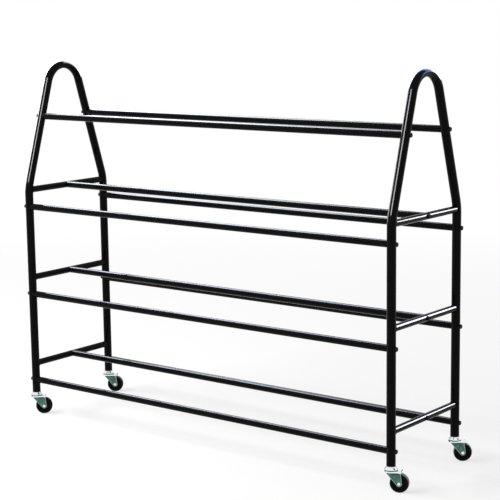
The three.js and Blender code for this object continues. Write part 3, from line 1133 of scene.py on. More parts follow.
@dataclass(frozen=True)
class CartLayout:
    """The sizes and places that the pieces share, read from the frame."""

    line: HoopLine
    end_places: dict[End, float]
    middle_y: float
    tube_radius: float
    bar_radius: float
    rail_heights: dict[Tier, float]
    crossbar_heights: dict[Tier, float]
    corners: tuple[Corner, ...]
    seat_gap: float = 0.3 * MM

    @classmethod
    def read(cls, bend_rise: float = 10 * MM) -> "CartLayout":
        """Reads the layout.

        Args:
            bend_rise: from the upper crossbars up to the bend of the legs.

        Returns:
            The layout.
        """
        hoop_low, hoop_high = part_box("left_end_hoop")
        tube_radius = (hoop_high.x - hoop_low.x) / 2
        middle_y = (hoop_low.y + hoop_high.y) / 2
        rails = {tier: centre_of(f"{tier.word}_front_rail") for tier in Tier}
        crossbars = {
            tier: centre_of(f"left_{tier.word}_crossbar").z
            for tier in Tier
            if tier is not Tier.TOP
        }
        line = HoopLine(
            half_span=(hoop_high.y - hoop_low.y) / 2 - tube_radius,
            foot=hoop_low.z,
            top=hoop_high.z - tube_radius,
            bend_height=crossbars[Tier.UPPER] + bend_rise,
            top_rail_reach=middle_y - rails[Tier.TOP].y,
            top_rail_height=rails[Tier.TOP].z,
        )
        return cls(
            line=line,
            end_places={end: centre_of(f"{end.word}_end_hoop").x for end in End},
            middle_y=middle_y,
            tube_radius=tube_radius,
            bar_radius=span_of("bottom_front_rail").z / 2,
            rail_heights={tier: place.z for tier, place in rails.items()},
            crossbar_heights=crossbars,
            corners=tuple(Corner.read(end, flank) for end in End for flank in Flank),
        )


def dress(
    piece: bpy.types.Object, body: str, slot: Slot, nodes: Sequence[str] = ()
) -> bpy.types.Object:
    """Hands a finished piece to the frame.

    Args:
        piece: the piece, at the origin.
        body: the body that it moves with.
        slot: the record's slot of its finish; not used.
        nodes: the nodes that it stands for.

    Returns:
        The piece.
    """
    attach(piece, body)
    if nodes:
        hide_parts(*nodes)
    log.info("%s rides on %s, %d faces", piece.name, body, len(piece.data.polygons))
    return piece


# ---- The frame of tubes -------------------------------------------------------------------------


@dataclass
class EndHoops:
    """The two bent-tube end hoops."""

    layout: CartLayout
    coat: bpy.types.Material
    wall: float = 1.5 * MM
    sides: int = 64
    bend_steps: int = 12
    arch_steps: int = 30

    def build(self) -> list[bpy.types.Object]:
        """Builds both hoops."""
        tree = tube_tree()
        return [self._hoop(end, tree) for end in End]

    def _hoop(self, end: End, tree: bpy.types.NodeTree) -> bpy.types.Object:
        """Builds one hoop along its centre line.

        Args:
            end: the hoop's end of the cart.
            tree: the tree that makes a tube of a path.

        Returns:
            The hoop.
        """
        half = self.layout.line.half(self.bend_steps, self.arch_steps)
        front = [(-reach, height) for reach, height in half]
        rear = [(reach, height) for reach, height in reversed(half[:-1])]
        x = self.layout.end_places[end]
        points = [(x, self.layout.middle_y + y, z) for y, z in front + rear]
        edges = [(i, i + 1) for i in range(len(points) - 1)]
        piece = sketched(f"{end.word}_hoop_tube", points, edges)
        values = {
            "Radius": self.layout.tube_radius,
            "Wall": self.wall,
            "Sides": self.sides,
            "Material": self.coat,
        }
        grown(piece, tree, values)
        skin = np.array([tuple(v.co) for v in piece.data.vertices])
        faces = [tuple(p.vertices) for p in piece.data.polygons]
        if signed_volume(skin, faces) < 0:
            piece.data.flip_normals()
        piece.data.shade_smooth()
        piece.data.set_sharp_from_angle(angle=math.radians(Crease.HOOP.value))
        return dress(piece, CART_BODY, Slot.COAT, [f"{end.word}_end_hoop"])


@dataclass
class Bars:
    """The eleven rails along the cart and the six crossbars between the legs."""

    layout: CartLayout
    coat: bpy.types.Material
    wall: float = 1.2 * MM
    sides: int = 48

    def build(self) -> list[bpy.types.Object]:
        """Builds every rail and crossbar.

        Returns:
            The bars.
        """
        made = [self._leg_rail(tier, flank) for tier in Tier for flank in Flank]
        low = [tier for tier in Tier if tier is not Tier.TOP]
        made += [self._middle_rail(tier) for tier in low]
        return made + [self._crossbar(end, tier) for end in End for tier in low]

    def _bar(
        self, node: str, along: np.ndarray, place: np.ndarray, ends: Ends
    ) -> bpy.types.Object:
        """A hollow bar whose ends are shaped all round.

        Args:
            node: the node that it stands for.
            along: the unit vector along the bar, which is level.
            place: a point on its axis.
            ends: for its outer and its inner skin, the two ends' places along the bar at each
                step round it.

        Returns:
            The bar.
        """
        upward = np.array((0.0, 0.0, 1.0))
        side = np.cross(upward, along)
        points, faces = [], []
        for skin, radius in zip(ends, self._skins()):
            out, up = self._round(radius)
            rim = out[:, None] * side + up[:, None] * upward
            points += [place + rim + end[:, None] * along for end in skin]
        outer_a, outer_b, inner_a, inner_b = (ring * self.sides for ring in range(4))
        for step in range(self.sides):
            on = (step + 1) % self.sides
            faces.append((outer_a + step, outer_a + on, outer_b + on, outer_b + step))
            faces.append((inner_a + on, inner_a + step, inner_b + step, inner_b + on))
            faces.append((outer_a + on, outer_a + step, inner_a + step, inner_a + on))
            faces.append((outer_b + step, outer_b + on, inner_b + on, inner_b + step))
        piece = new_piece(f"{node}_tube", np.vstack(points), faces, self.coat, Crease.BAR)
        return dress(piece, CART_BODY, Slot.COAT, [node])

    def _round(self, radius: float) -> tuple[np.ndarray, np.ndarray]:
        """How far out and how far up each step round a bar lies."""
        angles = np.arange(self.sides) * 2 * math.pi / self.sides
        return radius * np.cos(angles), radius * np.sin(angles)

    def _skins(self) -> tuple[float, float]:
        """The radii of a bar's outer and inner skin."""
        return self.layout.bar_radius, self.layout.bar_radius - self.wall

    def _seated(self, stop: float, away: np.ndarray) -> tuple[np.ndarray, np.ndarray]:
        """Seats a rail's ends on round tubes at both ends of the cart.

        Args:
            stop: how far from a tube's axis the rail stops.
            away: how far past that axis each step round the rail runs.

        Returns:
            The places along the cart of its left and right end at each step.
        """
        set_back = np.sqrt(stop**2 - away**2)
        left, right = (self.layout.end_places[end] for end in End)
        return left + set_back, right - set_back

    def _leg_rail(self, tier: Tier, flank: Flank) -> bpy.types.Object:
        """A rail between the legs, shaped to them at its ends.

        Args:
            tier: the rail's tier.
            flank: its side of the cart.

        Returns:
            The rail.
        """
        layout = self.layout
        height = layout.rail_heights[tier]
        reach, lean = layout.line.leg_at(height)
        stop = layout.tube_radius + layout.seat_gap
        ends: Ends = []
        for radius in self._skins():
            out, up = self._round(radius)
            # the level vector square to the bar points to +Y, and the leg leans to the middle
            away = out * math.cos(lean) + flank.value * up * math.sin(lean)
            ends.append(self._seated(stop, away))
        place = np.array((0.0, layout.middle_y + flank.value * reach, height))
        node = f"{tier.word}_{flank.word}_rail"
        return self._bar(node, np.array((1.0, 0, 0)), place, ends)

    def _middle_rail(self, tier: Tier) -> bpy.types.Object:
        """A rail down the middle, shaped to the crossbars at its ends.

        Args:
            tier: the rail's tier.

        Returns:
            The rail.
        """
        layout = self.layout
        stop = layout.bar_radius + layout.seat_gap
        ends = [self._seated(stop, self._round(radius)[1]) for radius in self._skins()]
        place = np.array((0.0, layout.middle_y, layout.crossbar_heights[tier]))
        return self._bar(f"{tier.word}_middle_rail", np.array((1.0, 0, 0)), place, ends)

    def _crossbar(self, end: End, tier: Tier) -> bpy.types.Object:
        """A crossbar between the two legs of one hoop.

        Args:
            end: the hoop's end of the cart.
            tier: the crossbar's tier.

        Returns:
            The crossbar.
        """
        layout = self.layout
        height = layout.crossbar_heights[tier]
        stop = layout.tube_radius + layout.seat_gap
        ends: Ends = []
        for radius in self._skins():
            out, up = self._round(radius)
            legs = [layout.line.leg_at(height + float(rise)) for rise in up]
            reach = np.array([leg[0] for leg in legs])
            lean = np.array([leg[1] for leg in legs])
            length = reach - np.sqrt(stop**2 - out**2) / np.cos(lean)
            ends.append((-length, length))
        place = np.array((layout.end_places[end], layout.middle_y, height))
        node = f"{end.word}_{tier.word}_crossbar"
        return self._bar(node, np.array((0, 1.0, 0)), place, ends)


@dataclass
class Welds:
    """The weld beads that join the crossbars to the legs, under the coat."""

    layout: CartLayout
    coat: bpy.types.Material
    bead_radius: float = 1.5 * MM
    spacing: float = 1.7 * MM
    stand_off: float = 0.7 * MM
    steps: int = 72

    def build(self) -> list[bpy.types.Object]:
        """Builds the beads of each end."""
        tree = bead_tree()
        return [self._end(end, tree) for end in End]

    def _end(self, end: End, tree: bpy.types.NodeTree) -> bpy.types.Object:
        """Builds the six beads of one end hoop.

        Args:
            end: the hoop's end of the cart.
            tree: the tree that lays beads along paths.

        Returns:
            The beads.
        """
        points: list[Place] = []
        edges: list[tuple[int, int]] = []
        for height in self.layout.crossbar_heights.values():
            for flank in Flank:
                first = len(points)
                points += self._loop(end, flank, height)
                edges += [(first + i, first + (i + 1) % self.steps) for i in range(self.steps)]
        piece = sketched(f"{end.word}_crossbar_welds", points, edges)
        values = {
            "Spacing": self.spacing,
            "Radius": self.bead_radius,
            "Seed": SEED,
            "Material": self.coat,
        }
        return dress(grown(piece, tree, values), CART_BODY, Slot.COAT)

    def _loop(self, end: End, flank: Flank, height: float) -> list[Place]:
        """The line round a crossbar where it meets a leg.

        Args:
            end: the leg's end of the cart.
            flank: the leg's side of the cart.
            height: the crossbar's height.

        Returns:
            The points of the closed line.
        """
        layout = self.layout
        bar = layout.bar_radius + self.stand_off
        leg = layout.tube_radius + self.stand_off
        points = []
        for step in range(self.steps):
            angle = 2 * math.pi * step / self.steps
            out, up = bar * math.cos(angle), bar * math.sin(angle)
            reach, lean = layout.line.leg_at(height + up)
            y = flank.value * (reach - math.sqrt(leg**2 - out**2) / math.cos(lean))
            points.append((layout.end_places[end] + out, layout.middle_y + y, height + up))
        return points


@dataclass
class RailBolts:
    """The heads of the twenty-two bolts that hold the rails."""

    layout: CartLayout
    steel: bpy.types.Material
    head_width: float = 13.0
    head_height: float = 4.8
    flange_height: float = 1.0
    leg_flange: float = 7.5
    bar_flange: float = 7.5
    flange_edge: float = 0.5
    flange_round: float = 0.15
    chamfer_radius: float = 6.1
    chamfer_angle: float = 30.0
    dish_depth: float = 0.35
    dish_slope: float = 0.6
    steps: int = 48

    def build(self) -> list[bpy.types.Object]:
        """Builds the heads on the legs, and those on the crossbars.

        Returns:
            The four sets of heads.
        """
        tree = bolt_tree()
        made = [self._leg_heads(end, tree) for end in End]
        return made + [self._bar_heads(end, tree) for end in End]

    def _head(self, seat: float, flange: float, across: bool) -> bpy.types.Object:
        """One head, outwards along +X, its flange shaped to the tube that it sits on.

        Args:
            seat: the radius of the tube, in millimetres.
            flange: the flange's radius, in millimetres.
            across: whether the tube runs along Y, and not up.

        Returns:
            The head, which the sets are made of.
        """
        angles = np.arange(self.steps) * 2 * math.pi / self.steps
        corner = (angles + math.pi / 6) % (math.pi / 3) - math.pi / 6
        hexagon = self.head_width / 2 / np.cos(corner)
        top = self.flange_height + self.head_height
        slope = math.tan(math.radians(self.chamfer_angle))

        def ring(radius: np.ndarray | float, height: np.ndarray | float) -> np.ndarray:
            """A ring of points, each so far out and so high."""
            level = (radius * np.cos(angles), radius * np.sin(angles))
            return np.stack((np.broadcast_to(height, angles.shape), *level), 1)

        off = flange * (np.sin(angles) if across else np.cos(angles))
        under = np.sqrt(seat**2 - off**2) - seat
        chamfer = top - np.clip(hexagon - self.chamfer_radius, 0, None) * slope
        neck = np.minimum(hexagon, flange - self.flange_edge)
        rings = [
            ring(flange, under),
            ring(flange, self.flange_height - self.flange_edge),
            ring(flange - self.flange_round, self.flange_height - self.flange_round),
            ring(flange - self.flange_edge, self.flange_height),
            ring(neck, self.flange_height),
            ring(neck - 0.02, self.flange_height + 0.05),
            ring(np.minimum(hexagon, neck), chamfer),
            ring(self.chamfer_radius, top),
            ring(self.chamfer_radius - self.dish_slope, top),
            ring(self.chamfer_radius - 2 * self.dish_slope, top - self.dish_depth),
        ]
        points = np.vstack(rings)
        faces: Faces = []
        for level in range(len(rings) - 1):
            faces += band(level * self.steps, (level + 1) * self.steps, self.steps)
        bottom, crown = len(points), len(points) + 1
        points = np.vstack((points, (0.0, 0, 0), (top - self.dish_depth, 0, 0)))
        last = (len(rings) - 1) * self.steps
        for step in range(self.steps):
            on = (step + 1) % self.steps
            faces.append((bottom, on, step))
            faces.append((crown, last + step, last + on))
        return new_piece("bolt_head", points * MM, faces, self.steel, Crease.BOLT)

    def _scatter(
        self,
        name: str,
        head: bpy.types.Object,
        places: list[Place],
        turns: list[Place],
        tree: bpy.types.NodeTree,
    ) -> bpy.types.Object:
        """Puts a copy of a head on each place, with its own turn.

        Args:
            name: the name of the set.
            head: the head, which goes once it is copied.
            places: where the copies go.
            turns: their rotations about X, Y and Z.
            tree: the tree that puts copies on places.

        Returns:
            The set of heads.
        """
        piece = sketched(name, places)
        turn = piece.data.attributes.new("turn", "FLOAT_VECTOR", "POINT")
        turn.data.foreach_set("vector", np.array(turns, np.float32).ravel())
        grown(piece, tree, {"Head": head, "Material": self.steel})
        bpy.data.objects.remove(head)
        piece.data.set_sharp_from_angle(angle=math.radians(Crease.BOLT.value))
        return piece

    def _leg_heads(self, end: End, tree: bpy.types.NodeTree) -> bpy.types.Object:
        """The eight heads on the outer side of one hoop's legs.

        Args:
            end: the hoop's end of the cart.
            tree: the tree that puts copies on places.

        Returns:
            The set of heads.
        """
        layout = self.layout
        seat = layout.tube_radius + layout.seat_gap
        places, turns, nodes = [], [], []
        for tier in Tier:
            height = layout.rail_heights[tier]
            reach, lean = layout.line.leg_at(height)
            for flank in Flank:
                x = layout.end_places[end] + end.value * seat
                places.append((x, layout.middle_y + flank.value * reach, height))
                turns.append((flank.value * lean * end.value, 0.0, end.facing))
                nodes.append(f"{tier.word}_{flank.word}_rail_{end.word}_bolt")
        head = self._head(layout.tube_radius / MM, self.leg_flange, False)
        piece = self._scatter(f"{end.word}_leg_bolts", head, places, turns, tree)
        return dress(piece, CART_BODY, Slot.BOLT, nodes)

    def _bar_heads(self, end: End, tree: bpy.types.NodeTree) -> bpy.types.Object:
        """The three heads on the outer side of one end's crossbars.

        Args:
            end: the end of the cart.
            tree: the tree that puts copies on places.

        Returns:
            The set of heads.
        """
        layout = self.layout
        x = layout.end_places[end] + end.value * (layout.bar_radius + layout.seat_gap)
        places = [(x, layout.middle_y, height) for height in layout.crossbar_heights.values()]
        head = self._head(layout.bar_radius / MM, self.bar_flange, True)
        turns = [(0.0, 0.0, end.facing)] * len(places)
        piece = self._scatter(f"{end.word}_crossbar_bolts", head, places, turns, tree)
        return dress(piece, CART_BODY, Slot.BOLT)


# ---- Casters ------------------------------------------------------------------------------------


class Field:
    """Distances to simple solids, and ways to join them. Negative is inside."""

    @staticmethod
    def join(first: np.ndarray, second: np.ndarray, blend: float) -> np.ndarray:
        """The union of two solids, with a fillet of about the blend's size."""
        share = np.clip(0.5 + 0.5 * (second - first) / blend, 0, 1)
        return second * (1 - share) + first * share - blend * share * (1 - share)

    @staticmethod
    def cut(first: np.ndarray, second: np.ndarray, blend: float) -> np.ndarray:
        """The first solid without the second."""
        return -Field.join(-first, second, blend)

    @staticmethod
    def common(first: np.ndarray, second: np.ndarray, blend: float) -> np.ndarray:
        """What two solids share."""
        return -Field.join(-first, -second, blend)

    @staticmethod
    def plate(outline: np.ndarray, thickness: np.ndarray, edge: float) -> np.ndarray:
        """A plate with rounded edges, from its distances in plan and through its thickness."""
        a, b = outline + edge, thickness + edge
        return np.minimum(np.maximum(a, b), 0) + np.hypot(np.maximum(a, 0), np.maximum(b, 0)) - edge

    @staticmethod
    def polygon(x: np.ndarray, y: np.ndarray, outline: Outline) -> np.ndarray:
        """The signed distance to a closed outline in a plane.

        Args:
            x: the points' first places.
            y: their second places.
            outline: the outline's corners.

        Returns:
            The points' distances, negative inside.
        """
        nearest = np.full(x.shape, np.inf)
        inside = np.zeros(x.shape, bool)
        for (ax, ay), (bx, by) in zip(outline, outline[1:] + outline[:1]):
            ex, ey, px, py = bx - ax, by - ay, x - ax, y - ay
            t = np.clip((px * ex + py * ey) / (ex * ex + ey * ey), 0, 1)
            nearest = np.minimum(nearest, (px - ex * t) ** 2 + (py - ey * t) ** 2)
            crosses = (ay > y) != (by > y)
            if ey:
                inside ^= crosses & (x < ax + ex * py / ey)
        return np.where(inside, -1, 1) * np.sqrt(nearest)


def surface_of(
    distance: Callable[[np.ndarray], np.ndarray], low: np.ndarray, high: np.ndarray, step: float
) -> tuple[np.ndarray, np.ndarray]:
    """Meshes the surface of a solid that is given by its distances.

    Args:
        distance: a function from points to their distances.
        low: the lowest corner of the space to mesh, clear of the solid.
        high: its highest corner.
        step: the size of a cell.

    Returns:
        The vertices and the four-cornered faces.
    """
    axes = [np.arange(a, b + step, step) for a, b in zip(low, high)]
    grid = np.stack(np.meshgrid(*axes, indexing="ij"), -1)
    shape = grid.shape[:3]
    values = np.concatenate([distance(slab.reshape(-1, 3)) for slab in grid]).reshape(shape)
    inside = values < 0
    cells = tuple(n - 1 for n in shape)
    total, count = np.zeros((*cells, 3)), np.zeros(cells)
    crossings = []
    for axis in range(3):
        others = [a for a in range(3) if a != axis]
        here = tuple(slice(0, -1) if a == axis else slice(None) for a in range(3))
        there = tuple(slice(1, None) if a == axis else slice(None) for a in range(3))
        crossed = inside[here] != inside[there]
        with np.errstate(divide="ignore", invalid="ignore"):
            share = np.where(crossed, values[here] / (values[here] - values[there]), 0)
        place = grid[here].copy()
        place[..., axis] += share * step
        crossings.append((axis, others, crossed, inside[here]))
        for first in (0, 1):
            for second in (0, 1):
                pick = [slice(None)] * 3
                pick[others[0]] = slice(first, first + cells[others[0]])
                pick[others[1]] = slice(second, second + cells[others[1]])
                chosen = tuple(pick)
                total += place[chosen] * crossed[chosen][..., None]
                count += crossed[chosen]
    used = count > 0
    numbers = np.full(cells, -1)
    numbers[used] = np.arange(int(used.sum()))
    points = total[used] / count[used][:, None]
    faces = []
    for axis, others, crossed, starts_inside in crossings:
        at = np.argwhere(crossed)
        at = at[(at[:, others[0]] > 0) & (at[:, others[1]] > 0)]
        flips = starts_inside[tuple(at.T)] ^ (axis == 1)
        corners = []
        for first, second in ((1, 1), (0, 1), (0, 0), (1, 0)):
            cell = at.copy()
            cell[:, others[0]] -= first
            cell[:, others[1]] -= second
            corners.append(numbers[tuple(cell.T)])
        quads = np.stack(corners, 1)
        quads[~flips] = quads[~flips][:, ::-1]
        faces.append(quads)
    # draws the vertices down onto the surface itself
    small, least_slope, longest = 0.05 * step, 0.25, 0.4 * step
    for _ in range(3):
        slope = np.stack(
            [
                (distance(points + offset) - distance(points - offset)) / (2 * small)
                for offset in np.eye(3) * small
            ],
            1,
        )
        steep = np.clip((slope**2).sum(1), least_slope, None)
        move = slope * (distance(points) / steep)[:, None]
        points = points - np.clip(move, -longest, longest)
    return points, np.vstack(faces)


@dataclass
class CasterFork:
    """The pressed fork: a round crown with a turned-down rim over two cheeks. Millimetres."""

    axle_height: float
    trail: float
    crown_top: float
    crown_radius: float = 19.5
    sheet: float = 2.0
    rim_depth: float = 6.0
    shoulder: float = 2.0
    level_reach: float = 16.0
    rear_reach: float = 33.0
    rear_fall: float = 1.0
    rear_half_width: float = 14.0
    gap: float = 24.0
    cheek_front: float = 13.0
    cheek_front_depth: float = 6.5
    cheek_rear: float = 30.0
    cheek_rear_depth: float = 5.0
    boss_radius: float = 9.0
    edge_bead: float = 1.1
    edge_bead_inset: float = 1.3
    race_radius: float = 12.75
    race_half_width: float = 1.75
    race_height: float = 1.0
    kingpin_bore: float = 4.35
    kingpin_foot: float = 20.0
    axle_bore: float = 3.5
    ball_ring_radius: float = 16.2
    ball_radius: float = 1.2
    ball_height: float = 0.65
    ball_play: float = 0.1
    crown_fillet: float = 2.2
    bead_fillet: float = 0.8
    cheek_edge: float = 0.7
    race_fillet: float = 0.5
    bore_edge: float = 0.3
    cheek_inset: float = 1.0
    bright_edge: float = 0.9
    bright_width: float = 1.1
    # the next two fields place a line of painted shade under the crown's rim
    dirt_drop: float = 1.1
    dirt_width: float = 1.8
    inner_margin: float = 0.4
    # the next three fields place grease with the painted shade of the race gap round the race
    grease_radius: float = 20.1
    grease_fade: float = 0.5
    grease_depth: float = 1.1
    margin: float = 1.5
    top_margin: float = 2.5
    cell: float = 0.45

    def cheek_outline(self) -> Outline:
        """The outline of a cheek, seen from the side.

        Returns:
            Its corners, from the front of the crown round the axle's boss to the rear.
        """
        centre = np.array((self.trail, self.axle_height))
        front = np.array((-self.cheek_front, self.crown_top - self.cheek_front_depth))
        rear = np.array(
            (self.cheek_rear, self.crown_top - self.rear_fall - self.cheek_rear_depth)
        )

        def touch(point: np.ndarray, side: int) -> float:
            """The direction in which a line from a point touches one side of the boss."""
            x, y = point - centre
            return math.atan2(y, x) + side * math.acos(self.boss_radius / float(np.hypot(x, y)))

        start, end = touch(front, 1), touch(rear, -1)
        end += 2 * math.pi if end < start else 0
        boss = [
            tuple(centre + self.boss_radius * np.array((math.cos(a), math.sin(a))))
            for a in np.linspace(start, end, 15)
        ]
        inset = self.cheek_inset
        inner_front = (-self.cheek_front, self.crown_top - inset)
        inner_rear = (self.rear_reach - inset, self.crown_top - self.rear_fall - inset)
        return [inner_front, tuple(front), *boss, tuple(rear), inner_rear]

    def plan(self, x: np.ndarray, y: np.ndarray) -> np.ndarray:
        """The distance to the crown's outline, seen from above: a disc with a tail.

        Args:
            x: the points' places along the caster.
            y: their places across it.

        Returns:
            The distances, negative inside.
        """
        disc = np.hypot(x, y) - self.crown_radius
        corner = np.array((self.rear_reach, self.rear_half_width))
        reach = math.acos(self.crown_radius / float(np.hypot(*corner)))
        angle = math.atan2(corner[1], corner[0]) + reach
        hip = self.crown_radius * np.array((math.cos(angle), math.sin(angle)))
        tail = [(hip[0], -hip[1]), (corner[0], -corner[1]), tuple(corner), tuple(hip)]
        return np.minimum(disc, Field.polygon(x, y, tail))

    def distance(self, points: np.ndarray) -> np.ndarray:
        """The distance of points from the fork's surface.

        Args:
            points: the points, one in each row.

        Returns:
            Their distances, negative inside.
        """
        x, y, z = points.T
        side = np.abs(y)
        reach = np.hypot(x, y)
        slope = self.rear_fall / (self.rear_reach - self.level_reach)
        top = self.crown_top - np.clip(x - self.level_reach, 0, None) * slope
        plan = self.plan(x, y)
        hat = Field.plate(
            plan, np.abs(z - top + self.rim_depth / 2) - self.rim_depth / 2, self.shoulder
        )
        outer = self.gap / 2 + self.sheet
        cheek_plan = Field.polygon(x, z, self.cheek_outline())
        cheeks = Field.plate(cheek_plan, side - outer, self.cheek_edge)
        bead = np.hypot(cheek_plan + self.edge_bead_inset, side - outer + 0.3) - self.edge_bead
        bead = Field.common(bead, z - top + self.rim_depth, self.bead_fillet)
        cheeks = Field.join(cheeks, bead, self.bead_fillet)
        whole = Field.join(hat, cheeks, self.crown_fillet)
        race = Field.plate(
            np.abs(reach - self.race_radius) - self.race_half_width,
            np.abs(z - self.crown_top) - self.race_height,
            self.bore_edge,
        )
        whole = Field.join(whole, race, self.race_fillet)
        channel = np.maximum(side - self.gap / 2, z - top + self.sheet)
        channel = np.where(x < 0, np.maximum(channel, plan + self.sheet), channel)
        whole = Field.cut(whole, channel, self.cheek_edge)
        kingpin = np.maximum(
            reach - self.kingpin_bore, self.axle_height + self.kingpin_foot - z
        )
        whole = Field.cut(whole, kingpin, self.bore_edge)
        axle = np.hypot(x - self.trail, z - self.axle_height) - self.axle_bore
        whole = Field.cut(whole, axle, self.bore_edge)
        rise = z - self.crown_top - self.ball_height
        ball = self.ball_radius + self.ball_play
        groove = np.hypot(reach - self.ball_ring_radius, rise) - ball
        return Field.cut(whole, groove, self.bore_edge)

    def build(self, name: str, zinc: bpy.types.Material) -> bpy.types.Object:
        """Builds the fork in the caster's own frame.

        Args:
            name: the piece's name.
            zinc: its finish, which reads its wear and painted shade.

        Returns:
            The fork.
        """
        side, margin = self.crown_radius, self.margin
        foot = self.axle_height - self.boss_radius
        low = np.array((-side - margin, -side - margin, foot - margin))
        top = self.crown_top + self.top_margin
        high = np.array((self.rear_reach + margin, side + margin, top))
        points, faces = surface_of(self.distance, low, high, self.cell)
        piece = new_piece(name, points * MM, faces.tolist(), zinc, Crease.FORK)
        wear_and_shade_layer = piece.data.attributes.new("wear", "FLOAT_COLOR", "POINT")
        wear_and_shade_layer.data.foreach_set("color", self.wear(points).ravel())
        return piece

    def wear(self, points: np.ndarray) -> np.ndarray:
        """Where the fork's edges are bright, and where painted shade and grease darken it.

        Args:
            points: places on its surface.

        Returns:
            For each place the shares of bright edge, painted shade, and grease with painted shade,
            and 1.
        """
        x, y, z = points.T
        side, reach = np.abs(y), np.hypot(x, y)
        foot = self.crown_top - self.rim_depth
        outline = Field.polygon(x, z, self.cheek_outline())
        between = side < self.gap / 2 + self.inner_margin
        cheek = np.clip((foot - z) / 1.5, 0, 1) * ~between
        from_edge = np.abs(outline + self.bright_edge)
        edge = np.clip(1.5 - from_edge / self.bright_width, 0, 1) * cheek
        # painted shade: a line under the crown's rim, and the inside of the fork between the cheeks
        sunk = self.plan(x, y) < -0.8
        inside = between & (z < self.crown_top - 0.9)
        from_painted_shade = np.abs(foot - self.dirt_drop - z)
        shade_band = np.clip(1.4 - from_painted_shade / self.dirt_width, 0, 1) * sunk * ~inside
        dirt = np.maximum(shade_band, inside)
        # grease with the painted shade of the race gap, on the crown's top round the race
        near = np.clip((self.grease_radius - reach) / self.grease_fade, 0, 1)
        grease = near * (z > self.crown_top - self.grease_depth)
        return np.stack((edge, dirt, grease, np.ones_like(x)), 1).astype(np.float32)


# how pale each tyre's tread is painted, from 0 to 1: scuffing with a painted highlight, which
# differs from tyre to tyre
TREAD_SCUFFS_AND_HIGHLIGHTS = {"front_left": 0.10, "front_right": 1.0, "rear_left": 0.5, "rear_right": 0.85}


